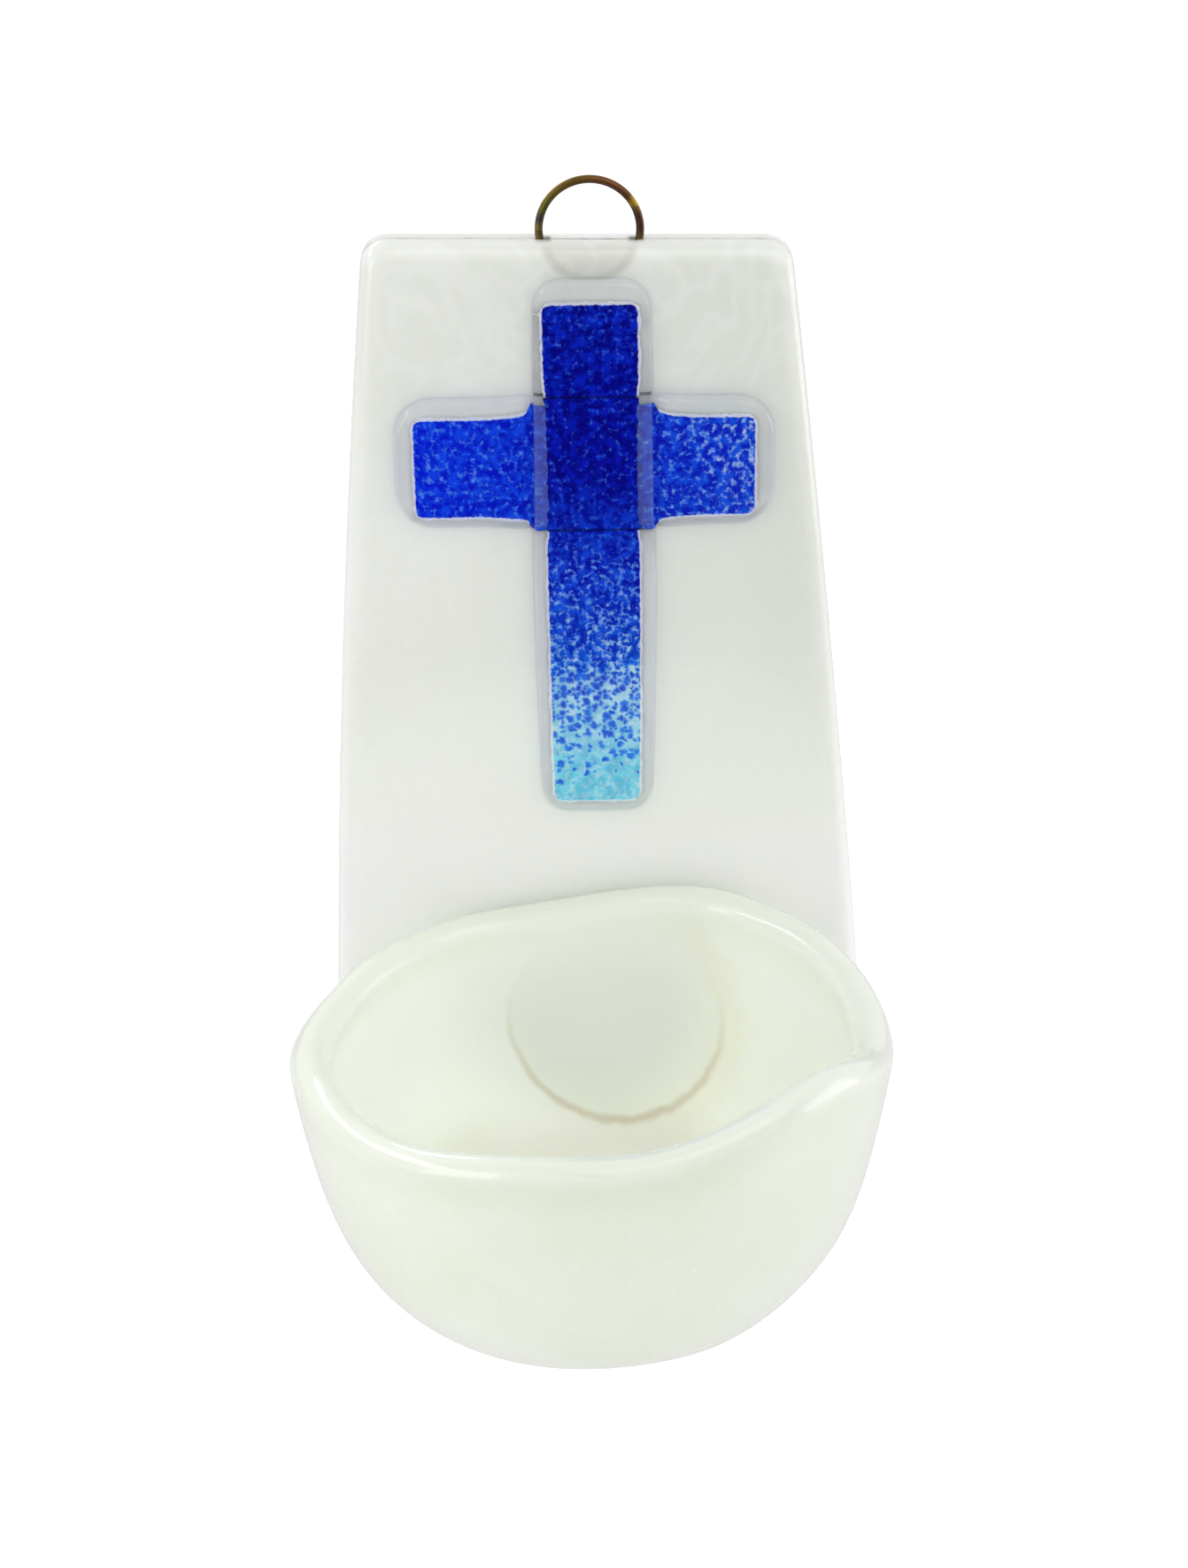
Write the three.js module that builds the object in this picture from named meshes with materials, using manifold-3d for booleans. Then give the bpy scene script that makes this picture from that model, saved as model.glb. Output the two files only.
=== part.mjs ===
// Holy water stoup of kiln-formed glass. A milky wall plate of two fused sheets holds a wire hanging
// ring between them, carries a cross of clear strips laid over coloured grit, and has a slumped bowl
// bonded to its lower front. Millimetres, +Z up, +Y into the wall, -Y towards the viewer. The origin
// lies on the wall face, halfway up the plate.
import * as THREE from 'three';
import { mergeVertices } from 'three/addons/utils/BufferGeometryUtils.js';
import Module from 'manifold-3d';

const wasm = await Module();
wasm.setup();

// Fits
const gritGap = 0.3; // round the grit, inside the pocket under a strip
const wireGap = 0.3; // beside the wire, inside its groove
const drapeGap = 0.3; // past the bar's edges, before the upright sinks to the plate

// Wall plate: the left and right sides are measured from the cross's upright axis, and bow outwards
const sheetThickness = 3;
const plateHeight = 132;
const plateTopLeft = 28.9;
const plateTopRight = 26.3;
const plateBottomLeft = 38.4;
const plateBottomRight = 39.6;
const plateTopFall = 0.8; // the hand-cut top edge runs down to the right
const plateLeftBow = 1;
const plateRightBow = 0.6;
const plateTopCorner = 4;
const plateBottomCorner = 8;
const frontEdgeRound = 2.2;
const backEdgeRound = 0.8;

// Hanging ring, half sunk between the sheets
const wireDiameter = 1.05;
const ringDiameter = 13; // to the middle of the wire
const ringRise = 0.8; // of its centre above the plate's top edge
const ringShift = 0.4; // to the right of the plate's origin

// Cross strips and the grit under them
const stripThickness = 1.8;
const stripEdgeRound = 1.5;
const gritThickness = 0.6;
const gritCorner = 0.9;
const barLength = 49.7;
const barHeight = 17.6;
const barShift = -0.65;
const barDrop = 29.4; // of its middle below the plate's top edge
const barCorner = 4.2;
const barFlare = 0.4; // swelling on each side under the upright
const barEndMargin = 2.35; // of clear glass past the grit
const barSideMargin = 2;
const barCrossingMargin = 0.7; // under the upright, where the grit spread
const barGritSink = 0.4; // of the grit below the bar's middle
const gritSpreadRun = 2;
const uprightWidth = 16.2;
const uprightShift = 0.75;
const uprightTopMargin = 4.8; // down from the plate's top edge
const uprightFootClearance = 12.7; // up from the bowl's rim
const uprightCorner = 3.3;
const uprightWaist = 0.8; // drawn in on each side over the bar
const waistRun = 7;
const drapeRun = 4.5; // over which the upright sinks from the bar to the plate
const uprightSideMargin = 2;
const uprightGritShift = -0.4; // from the upright's middle
const uprightGritTopMargin = 3.4;
const uprightGritFootMargin = 0.8;
const turquoiseGritLength = 20.5;

// Bowl: a round slumped bowl with one side pressed flat against the bond
const bowlRadius = 39.2;
const bowlHeight = 44.3;
const bowlWall = 5.2;
const bowlFloor = 5.6;
const bowlShift = -0.85;
const bowlHang = 4.9; // of its bottom below the plate's bottom edge
const bowlFlattening = 3.3; // taken off the round rim by the flat back
const bowlLean = 5; // of its bottom towards the wall
const bowlFlare = 5; // degrees, of the wall at the rim
const bowlFootFullness = 0.72; // share of the radius
const bowlWallFullness = 0.9; // share of the height
const rimWaves = [
  { lobes: 1, rise: 2.65, peak: -37.5 },
  { lobes: 2, rise: 1.43, peak: -87.4 },
  { lobes: 3, rise: 1.34, peak: -49.6 },
  { lobes: 4, rise: 0.59, peak: -43.9 },
  { lobes: 5, rise: 0.44, peak: -35.2 },
  { lobes: 6, rise: 0.56, peak: 19.5 },
];

// Adhesive bond between bowl and plate
const bondDiameter = 31;
const bondThickness = 1;
const bondRise = 22.4; // of its middle above the bowl's bottom
const bondShift = 2.6;

// Fineness of the facets
const bowlSides = 64;
const ringSides = 48;
const wireSides = 12;
const bondSides = 48;
const skinSteps = 14;
const rimSteps = 6;
const edgeSteps = 3;
const cornerSteps = 8;
const acrossSteps = 10;
const barSteps = 26;
const uprightSteps = 46;
const gritAcrossSteps = 4;
const alongCrowding = 0.5; // share of the way from even steps to steps crowded at the ends
const acrossCrowding = 1;

// Worked-out places
const plateTop = plateHeight / 2;
const plateBottom = -plateHeight / 2;
const plateThickness = 2 * sheetThickness;
const plateFront = -plateThickness;
const ringHeight = plateTop + ringRise;
const bowlBottom = plateBottom - bowlHang;
const bowlBack = plateFront - bondThickness;
const bowlAxis = bowlBack - bowlRadius + bowlFlattening;
const barMiddle = plateTop - barDrop;
const uprightTop = plateTop - uprightTopMargin;
const uprightFoot = bowlBottom + bowlHeight + uprightFootClearance;
const uprightGritTop = uprightTop - uprightGritTopMargin;
const uprightGritFoot = uprightFoot + uprightGritFootMargin;
const gritChange = uprightGritFoot + turquoiseGritLength;

const { degToRad, lerp, smoothstep } = THREE.MathUtils;

function toSolid(geometry) {
  geometry.deleteAttribute('normal');
  geometry.deleteAttribute('uv');
  const welded = mergeVertices(geometry);
  return new wasm.Manifold(new wasm.Mesh({
    numProp: 3,
    vertProperties: new Float32Array(welded.attributes.position.array),
    triVerts: new Uint32Array(welded.index.array),
  }));
}

function toGeometry(solid) {
  const { vertProperties, triVerts } = solid.getMesh();
  const geometry = new THREE.BufferGeometry();
  geometry.setAttribute('position', new THREE.BufferAttribute(vertProperties, 3));
  geometry.setIndex(new THREE.BufferAttribute(triVerts, 1));
  geometry.computeVertexNormals();
  return geometry;
}

// Plate outline, in the plane of the wall: straight top and bottom, bowed sides, rounded corners
function plateShape() {
  const shape = new THREE.Shape();
  const rightTop = plateTop - plateTopFall;
  const rightSide = (z) => lerp(plateBottomRight, plateTopRight, (z - plateBottom) / plateHeight);
  const leftSide = (z) => -lerp(plateBottomLeft, plateTopLeft, (z - plateBottom) / plateHeight);
  const lowCorner = plateBottom + plateBottomCorner;
  const rightHighCorner = rightTop - plateTopCorner;
  const leftHighCorner = plateTop - plateTopCorner;
  const middle = (lowCorner + leftHighCorner) / 2;
  const rightBulge = rightSide(middle) + 2 * plateRightBow;
  const leftBulge = leftSide(middle) - 2 * plateLeftBow;
  shape.moveTo(-plateBottomLeft + plateBottomCorner, plateBottom);
  shape.lineTo(plateBottomRight - plateBottomCorner, plateBottom);
  shape.quadraticCurveTo(plateBottomRight, plateBottom, rightSide(lowCorner), lowCorner);
  shape.quadraticCurveTo(rightBulge, middle, rightSide(rightHighCorner), rightHighCorner);
  shape.quadraticCurveTo(rightSide(rightTop), rightTop, plateTopRight - plateTopCorner, rightTop);
  shape.lineTo(-plateTopLeft + plateTopCorner, plateTop);
  shape.quadraticCurveTo(-plateTopLeft, plateTop, leftSide(leftHighCorner), leftHighCorner);
  shape.quadraticCurveTo(leftBulge, middle, leftSide(lowCorner), lowCorner);
  shape.quadraticCurveTo(-plateBottomLeft, plateBottom, -plateBottomLeft + plateBottomCorner, plateBottom);
  return shape;
}

// The whole plate with one edge rounding all round, from the wall face to the front face
function plateBlank(edgeRound) {
  const geometry = new THREE.ExtrudeGeometry(plateShape(), {
    depth: plateThickness - 2 * edgeRound,
    bevelThickness: edgeRound,
    bevelSize: edgeRound,
    bevelOffset: -edgeRound,
    bevelSegments: edgeSteps,
    curveSegments: cornerSteps,
  });
  geometry.translate(0, 0, edgeRound);
  geometry.rotateX(Math.PI / 2);
  return toSolid(geometry);
}

// The slab of space that one sheet takes up, counted outwards from the wall
function sheetSlab(layer) {
  const reach = 2 * (plateHeight + plateBottomLeft + plateBottomRight);
  const slab = new THREE.BoxGeometry(reach, sheetThickness, reach);
  slab.translate(0, -(layer + 0.5) * sheetThickness, 0);
  return toSolid(slab);
}

// Flat side of the wire's many-sided section, as far from its middle as the groove's floor
function wireFlat() {
  return (wireDiameter / 2) * Math.cos(Math.PI / wireSides);
}

function ringGroove() {
  const inside = ringDiameter / 2 - wireDiameter / 2 - wireGap;
  const outside = ringDiameter / 2 + wireDiameter / 2 + wireGap;
  const section = [
    new THREE.Vector2(inside, -wireFlat()),
    new THREE.Vector2(outside, -wireFlat()),
    new THREE.Vector2(outside, wireFlat()),
    new THREE.Vector2(inside, wireFlat()),
    new THREE.Vector2(inside, -wireFlat()),
  ];
  const groove = new THREE.LatheGeometry(section, ringSides);
  groove.translate(ringShift, -sheetThickness, ringHeight);
  return toSolid(groove);
}

function sheet(layer, edgeRound) {
  return toGeometry(plateBlank(edgeRound).intersect(sheetSlab(layer)).subtract(ringGroove()));
}

function hangingRing() {
  const section = [];
  for (let i = 0; i <= wireSides; i += 1) {
    const turn = ((i + 0.5) / wireSides) * 2 * Math.PI;
    section.push(new THREE.Vector2(
      ringDiameter / 2 + (wireDiameter / 2) * Math.cos(turn),
      (wireDiameter / 2) * Math.sin(turn),
    ));
  }
  const geometry = new THREE.LatheGeometry(section, ringSides);
  geometry.translate(ringShift, -sheetThickness, ringHeight);
  return geometry;
}

// How far a rounded edge falls away at a distance in from that edge
function edgeFall(distance, round) {
  const short = Math.max(round - distance, 0);
  return round - Math.sqrt(round * round - short * short);
}

// Moves evenly spaced steps from 0 to 1 towards both ends
function crowd(step, share) {
  return lerp(step, 0.5 - 0.5 * Math.cos(Math.PI * step), share);
}

// A flat-backed strip lying along X or Z on its bed, its front edges and its corners rounded
function softStrip(along, strip) {
  const across = along === 'z' ? 'x' : 'z';
  const steps = { [along]: strip.steps, [across]: strip.acrossSteps };
  const geometry = new THREE.BoxGeometry(1, 1, 1, steps.x, 1, steps.z);
  const position = geometry.attributes.position;
  const point = new THREE.Vector3();
  for (let i = 0; i < position.count; i += 1) {
    point.fromBufferAttribute(position, i);
    const place = lerp(strip.from, strip.to, crowd(point[along] + 0.5, alongCrowding));
    const side = 2 * crowd(point[across] + 0.5, acrossCrowding) - 1;
    const startGap = Math.max(place - strip.from, 0);
    const endGap = Math.max(strip.to - place, 0);
    const corner = edgeFall(startGap, strip.startCorner) + edgeFall(endGap, strip.endCorner);
    const halfWidth = strip.halfWidth(place) - corner;
    const edgeGap = Math.min((1 - Math.abs(side)) * halfWidth, startGap, endGap);
    const front = strip.thickness - edgeFall(edgeGap, strip.edgeRound);
    const inFront = point.y < 0;
    point.y = strip.bed(place) - (inFront ? front : -strip.sink);
    point[along] = place;
    point[across] = strip.middle + side * halfWidth;
    position.setXYZ(i, point.x, point.y, point.z);
  }
  return geometry;
}

// 1 over the crossing of the two strips, falling to 0 over the run on either side
function nearCrossing(place, middle, halfWidth, run) {
  return 1 - smoothstep(Math.abs(place - middle), halfWidth, halfWidth + run);
}

// The same along the bar, 1 under the upright
function underUpright(x, run) {
  return nearCrossing(x, uprightShift, uprightWidth / 2, run);
}

function plateBed() {
  return plateFront;
}

// The surface under the upright: the plate's front, with a smooth step over the bar
function uprightBed(z) {
  const barHalf = barHeight / 2 + barFlare + drapeGap;
  return plateFront - stripThickness * nearCrossing(z, barMiddle, barHalf, drapeRun);
}

function barHalfHeight(x) {
  return barHeight / 2 + barFlare * underUpright(x, waistRun);
}

function barGritStrip(grow, sink) {
  const margin = (x) => lerp(barSideMargin, barCrossingMargin, underUpright(x, gritSpreadRun));
  const halfLength = barLength / 2 - barEndMargin + grow;
  return softStrip('x', {
    from: barShift - halfLength,
    to: barShift + halfLength,
    middle: barMiddle - barGritSink,
    halfWidth: (x) => barHalfHeight(x) - margin(x) + grow,
    bed: plateBed,
    thickness: gritThickness + grow,
    sink,
    edgeRound: 0,
    startCorner: gritCorner,
    endCorner: gritCorner,
    steps: barSteps,
    acrossSteps: gritAcrossSteps,
  });
}

function crossBar() {
  const strip = softStrip('x', {
    from: barShift - barLength / 2,
    to: barShift + barLength / 2,
    middle: barMiddle,
    halfWidth: barHalfHeight,
    bed: plateBed,
    thickness: stripThickness,
    sink: 0,
    edgeRound: stripEdgeRound,
    startCorner: barCorner,
    endCorner: barCorner,
    steps: barSteps,
    acrossSteps,
  });
  return toGeometry(toSolid(strip).subtract(toSolid(barGritStrip(gritGap, gritThickness))));
}

function uprightHalfWidth(z) {
  return uprightWidth / 2 - uprightWaist * nearCrossing(z, barMiddle, barHeight / 2, waistRun);
}

function uprightGritStrip(from, to, grow, sink, startCorner, endCorner) {
  return softStrip('z', {
    from: from - grow,
    to: to + grow,
    middle: uprightShift + uprightGritShift,
    halfWidth: (z) => uprightHalfWidth(z) - uprightSideMargin + grow,
    bed: uprightBed,
    thickness: gritThickness + grow,
    sink,
    edgeRound: 0,
    startCorner,
    endCorner,
    steps: uprightSteps,
    acrossSteps: gritAcrossSteps,
  });
}

function blueGrit() {
  return uprightGritStrip(gritChange, uprightGritTop, 0, 0, 0, gritCorner);
}

function turquoiseGrit() {
  return uprightGritStrip(uprightGritFoot, gritChange, 0, 0, gritCorner, 0);
}

function crossUpright() {
  const strip = softStrip('z', {
    from: uprightFoot,
    to: uprightTop,
    middle: uprightShift,
    halfWidth: uprightHalfWidth,
    bed: uprightBed,
    thickness: stripThickness,
    sink: 0,
    edgeRound: stripEdgeRound,
    startCorner: uprightCorner,
    endCorner: uprightCorner,
    steps: uprightSteps,
    acrossSteps,
  });
  const pocket = uprightGritStrip(
    uprightGritFoot, uprightGritTop, gritGap, gritThickness, gritCorner, gritCorner,
  );
  return toGeometry(toSolid(strip).subtract(toSolid(pocket)));
}

// One skin of the bowl as a curve from the axis to below the rim
function bowlSkin(inset, low, high) {
  const flare = degToRad(bowlFlare);
  const radius = bowlRadius - inset;
  const reach = bowlWallFullness * (high - low);
  return new THREE.CubicBezierCurve(
    new THREE.Vector2(0, low),
    new THREE.Vector2(bowlFootFullness * radius, low),
    new THREE.Vector2(radius - reach * Math.sin(flare), high - reach * Math.cos(flare)),
    new THREE.Vector2(radius, high),
  );
}

// Section of the bowl from the axis: outer skin, round rim, inner skin
function bowlSection() {
  const rimRadius = bowlWall / 2;
  const shoulder = bowlHeight - rimRadius;
  const outer = bowlSkin(0, 0, shoulder).getSpacedPoints(skinSteps);
  const inner = bowlSkin(bowlWall, bowlFloor, shoulder).getSpacedPoints(skinSteps).reverse();
  const rim = [];
  for (let i = 1; i < rimSteps; i += 1) {
    const turn = (i / rimSteps) * Math.PI;
    rim.push(new THREE.Vector2(
      bowlRadius - rimRadius + rimRadius * Math.cos(turn),
      shoulder + rimRadius * Math.sin(turn),
    ));
  }
  return { points: [...outer, ...rim, ...inner], rimStart: skinSteps, rimEnd: skinSteps + rimSteps };
}

// Rise and fall of the rim at an angle round the bowl, as the glass sagged in the kiln
function rimRipple(angle) {
  let rise = 0;
  for (const wave of rimWaves) {
    rise += wave.rise * Math.cos(wave.lobes * (angle - degToRad(wave.peak)));
  }
  return rise;
}

// Turned bowl, then slumped: its rim ripples, its bottom leans to the wall and its back lies flat
function bowl() {
  const { points, rimStart, rimEnd } = bowlSection();
  const geometry = new THREE.LatheGeometry(points, bowlSides);
  geometry.rotateX(Math.PI / 2);
  const position = geometry.attributes.position;
  const point = new THREE.Vector3();
  for (let i = 0; i < position.count; i += 1) {
    point.fromBufferAttribute(position, i);
    const lift = point.z / bowlHeight;
    const acrossWall = smoothstep(i % points.length, rimStart, rimEnd);
    point.z += bowlBottom + lift * lift * rimRipple(Math.atan2(point.y, point.x));
    point.y = Math.min(point.y + bowlAxis + bowlLean * (1 - lift), bowlBack - acrossWall * bowlWall);
    position.setXYZ(i, point.x + bowlShift, point.y, point.z);
  }
  return toGeometry(toSolid(geometry));
}

function bondDisc() {
  const geometry = new THREE.CylinderGeometry(bondDiameter / 2, bondDiameter / 2, bondThickness, bondSides);
  geometry.translate(bondShift, plateFront - bondThickness / 2, bowlBottom + bondRise);
  return geometry;
}

function milkyGlass() {
  return new THREE.MeshStandardMaterial({ color: 0xe4e8df, roughness: 0.18, metalness: 0 });
}

function clearGlass() {
  return new THREE.MeshStandardMaterial({
    color: 0xe9efee, roughness: 0.08, metalness: 0, transparent: true, opacity: 0.35,
  });
}

function cobaltGrit() {
  return new THREE.MeshStandardMaterial({ color: 0x0c2bb0, roughness: 0.4, metalness: 0 });
}

function turquoiseGritColour() {
  return new THREE.MeshStandardMaterial({ color: 0x6ab6d8, roughness: 0.4, metalness: 0 });
}

function firedWire() {
  return new THREE.MeshStandardMaterial({ color: 0x7a6a3c, roughness: 0.45, metalness: 1 });
}

function clearAdhesive() {
  return new THREE.MeshStandardMaterial({ color: 0xd8ddcb, roughness: 0.5, metalness: 0 });
}

function piece(name, geometry, material) {
  const mesh = new THREE.Mesh(geometry, material);
  mesh.name = name;
  return mesh;
}

const stoup = new THREE.Group();
stoup.add(
  piece('back_sheet', sheet(0, backEdgeRound), milkyGlass()),
  piece('front_sheet', sheet(1, frontEdgeRound), milkyGlass()),
  piece('hanging_ring', hangingRing(), firedWire()),
  piece('cross_bar', crossBar(), clearGlass()),
  piece('cross_bar_grit', barGritStrip(0, 0), cobaltGrit()),
  piece('cross_upright', crossUpright(), clearGlass()),
  piece('cross_upright_grit_blue', blueGrit(), cobaltGrit()),
  piece('cross_upright_grit_turquoise', turquoiseGrit(), turquoiseGritColour()),
  piece('bond_disc', bondDisc(), clearAdhesive()),
  piece('bowl', bowl(), milkyGlass()),
);

export default stoup;
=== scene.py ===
"""Looks of a holy water stoup of kiln-formed glass: a milky wall plate of two fused sheets with a wire
ring between them, a cross of clear strips over coloured grains, and a slumped bowl bonded below."""
import math

import bmesh
import bpy
from mathutils import Matrix, Vector, geometry, noise


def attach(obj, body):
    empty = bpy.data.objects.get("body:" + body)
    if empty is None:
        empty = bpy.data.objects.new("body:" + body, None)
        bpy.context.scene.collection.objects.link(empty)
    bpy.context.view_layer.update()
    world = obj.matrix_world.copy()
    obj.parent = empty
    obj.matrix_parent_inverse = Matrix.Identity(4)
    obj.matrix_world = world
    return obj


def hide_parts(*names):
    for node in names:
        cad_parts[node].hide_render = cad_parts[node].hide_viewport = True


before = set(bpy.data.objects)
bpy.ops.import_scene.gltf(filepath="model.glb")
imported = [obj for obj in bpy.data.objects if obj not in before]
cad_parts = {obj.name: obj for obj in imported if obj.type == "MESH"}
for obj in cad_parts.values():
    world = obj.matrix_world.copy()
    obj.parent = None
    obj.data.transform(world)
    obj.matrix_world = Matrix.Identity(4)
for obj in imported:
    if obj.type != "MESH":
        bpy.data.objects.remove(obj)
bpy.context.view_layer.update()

# All sizes are in millimetres, and each finished mesh is scaled to metres
MM = 0.001

# Wall plate
SHEET = 3.0
PLATE_FRONT = -2 * SHEET
PLATE_TOP = 66.0
PLATE_BOTTOM = -66.0
PLATE_CORNERS = ((-38.4, PLATE_BOTTOM), (39.6, PLATE_BOTTOM), (26.3, PLATE_TOP - 0.8), (-28.9, PLATE_TOP))
PLATE_BOTTOM_CORNER = 8.0
PLATE_TOP_CORNER = 3.2
PLATE_LEFT_BOW = 1.0
PLATE_RIGHT_BOW = 0.6
FRONT_EDGE_ROUND = 2.2
BACK_EDGE_ROUND = 0.8
SEAM_ROUND = 0.3
SEAM_GAP = 0.45  # where the wire keeps the sheets apart at the top edge
CORNER_STEPS = 10
EDGE_STEPS = 7
SIDE_CUTS = 36
TOP_CUTS = 54

# Hanging ring
WIRE_RADIUS = 0.525
RING_RADIUS = 6.5
RING_CENTRE = Vector((0.4, -SHEET, 66.8))

# Cross
STRIP_THICKNESS = 1.8
STRIP_EDGE_ROUND = 0.8
STRIP_SINK = 0.1  # into the plate, where the glass has fused
GRAIN_THICKNESS = 0.6
BAR_LENGTH = 49.7
BAR_HEIGHT = 17.6
BAR_SHIFT = -0.65
BAR_MIDDLE = 36.6
BAR_CORNER = 5.0
BAR_FLARE = 0.4
BAR_FLARE_RUN = 7.0
BAR_END_MARGIN = 2.15
BAR_SIDE_MARGIN = 1.75
BAR_CROSSING_MARGIN = 0.55
BAR_GRAIN_SINK = 0.7
GRAIN_SPREAD_RUN = 2.4
UPRIGHT_WIDTH = 16.2
UPRIGHT_SHIFT = 0.52
UPRIGHT_TOP = 61.2
UPRIGHT_FOOT = -14.4
UPRIGHT_CORNER = 3.8
UPRIGHT_WAIST = 0.2
GRAIN_WAIST = 0.6
WAIST_RUN = 7.0
BAR_SQUEEZED = 0.8  # thickness left of the bar under the upright
UPRIGHT_RISE = 0.3  # of the upright's face, where it crosses the bar
UPRIGHT_NARROWING = 0.65  # of the half width, at its foot and top
DRAPE_RUN = 8.0
UPRIGHT_GRAIN_HALF = 6.5
UPRIGHT_GRAIN_SHIFT = -0.07
GRAIN_LEAN = -0.2  # at the top of the grains
GRAIN_FOOT_TAPER = 0.38
UPRIGHT_GRAIN_TOP = 58.3
UPRIGHT_GRAIN_FOOT = -13.1
GRAIN_CHANGE = 7.4  # height at which the blue grains give way to turquoise
GRAIN_CELL = 0.32
GRAIN_CORNER = 1.7
GRAIN_OUTLINE = 0.7
RAGGED_EDGE = 0.24
AIR_RADIUS = 0.17

# Bowl
BOWL_RADIUS = 39.2
BOWL_HEIGHT = 44.3
BOWL_WALL = 5.2
BOWL_FLOOR = 5.6
BOWL_SHIFT = -0.85
BOWL_BOTTOM = -70.9
BOWL_BACK = -7.0
BOWL_AXIS = BOWL_BACK - BOWL_RADIUS + 3.3
BOWL_LEAN = 5.0
BOWL_FLARE = math.radians(5)
BOWL_FOOT_FULLNESS = 0.72
BOWL_WALL_FULLNESS = 0.9
BOWL_BACK_BLEND = 2.4
RIM_WAVES = ((1, 2.65, -37.5), (2, 1.43, -87.4), (3, 1.34, -49.6), (4, 0.59, -43.9), (5, 0.44, -35.2), (6, 0.56, 19.5))
SKIN_STEPS = 44
RIM_STEPS = 14
BOWL_SIDES = 168

# Adhesive bond
BOND_CENTRE = Vector((2.6, PLATE_FRONT - 0.5, -48.5))
BOND_RADIUS = 15.5
BOND_THICKNESS = 1.1  # with a little pressed into the glass on both sides

FLOOR_HEIGHT = -190.0


def ease(value, low, high):
    """Smooth step from 0 at low to 1 at high."""
    share = min(max((value - low) / (high - low), 0.0), 1.0)
    return share * share * (3 - 2 * share)


def blend(share, start, end):
    return start + (end - start) * share


def tint(red, green, blue):
    """Colour from its 0 to 255 screen values."""
    def linear(value):
        value /= 255
        return value / 12.92 if value <= 0.04045 else ((value + 0.055) / 1.055) ** 2.4
    return (linear(red), linear(green), linear(blue), 1.0)


# Node helpers

def put(tree, kind, fill=None, **settings):
    """Adds a node, sets it up, and fills or links its inputs."""
    made = tree.nodes.new("ShaderNode" + kind)
    for key, value in settings.items():
        setattr(made, key, value)
    for key, value in (fill or {}).items():
        if isinstance(value, bpy.types.NodeSocket):
            tree.links.new(value, made.inputs[key])
        else:
            made.inputs[key].default_value = value
    return made


def math_of(tree, operation, first, second=0.0):
    return put(tree, "Math", {0: first, 1: second}, operation=operation).outputs[0]


def vector_of(tree, operation, first, second=(0, 0, 0)):
    return put(tree, "VectorMath", {0: first, 1: second}, operation=operation)


def step_between(tree, value, low, high):
    """0 at low, 1 at high, smooth between; low may be the larger."""
    made = put(tree, "MapRange", {0: value, 1: low, 2: high, 3: 0.0, 4: 1.0})
    made.interpolation_type = "SMOOTHSTEP"
    return made.outputs[0]


def spread(tree, value, low, high):
    """A 0 to 1 value spread over another range."""
    return put(tree, "MapRange", {0: value, 1: 0.0, 2: 1.0, 3: low, 4: high}).outputs[0]


def mix_colour(tree, share, start, end, blend_type="MIX"):
    return put(tree, "Mix", {0: share, 6: start, 7: end}, data_type="RGBA", blend_type=blend_type).outputs[2]


def ramp(tree, value, stops, smooth=True):
    """Colour along a value, from (place, colour) stops."""
    made = put(tree, "ValToRGB", {0: value})
    band = made.color_ramp
    band.interpolation = "EASE" if smooth else "LINEAR"
    while len(band.elements) < len(stops):
        band.elements.new(1.0)
    for element, (place, colour) in zip(band.elements, stops):
        element.position = place
        element.color = colour
    return made.outputs[0]


def curve_of(tree, value, stops):
    """Grey level along a value, from (place, level) stops."""
    return ramp(tree, value, [(place, (level, level, level, 1)) for place, level in stops], smooth=False)


def parts_of(tree, vector):
    return put(tree, "SeparateXYZ", {0: vector}).outputs


def effect(name, takes, gives):
    """A node group with named inputs and outputs, ready to be filled."""
    tree = bpy.data.node_groups.new(name, "ShaderNodeTree")
    for side, sockets in (("INPUT", takes), ("OUTPUT", gives)):
        for label, kind in sockets:
            tree.interface.new_socket(name=label, in_out=side, socket_type="NodeSocket" + kind)
    return tree, tree.nodes.new("NodeGroupInput").outputs, tree.nodes.new("NodeGroupOutput").inputs


def use(tree, group, fill):
    """Places a node group in a material with its own values."""
    made = tree.nodes.new("ShaderNodeGroup")
    made.node_tree = group
    for key, value in fill.items():
        if isinstance(value, bpy.types.NodeSocket):
            tree.links.new(value, made.inputs[key])
        else:
            made.inputs[key].default_value = value
    return made.outputs


# Shared effects

def kiln_skin_group():
    """Height of a fire-polished skin: slow ripples from the kiln and a faint orange peel."""
    tree, takes, gives = effect(
        "kiln_skin",
        [("Place", "Vector"), ("Ripple", "Float"), ("Peel", "Float")],
        [("Height", "Float")],
    )
    slow = put(tree, "TexNoise", {"Vector": takes["Place"], "Scale": 0.075, "Detail": 1.5, "Roughness": 0.4})
    fine = put(tree, "TexNoise", {"Vector": takes["Place"], "Scale": 0.62, "Detail": 3.0, "Roughness": 0.55})
    rippled = math_of(tree, "MULTIPLY", slow.outputs[0], takes["Ripple"])
    peeled = math_of(tree, "MULTIPLY", fine.outputs[0], takes["Peel"])
    tree.links.new(math_of(tree, "ADD", rippled, peeled), gives["Height"])
    return tree


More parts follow.
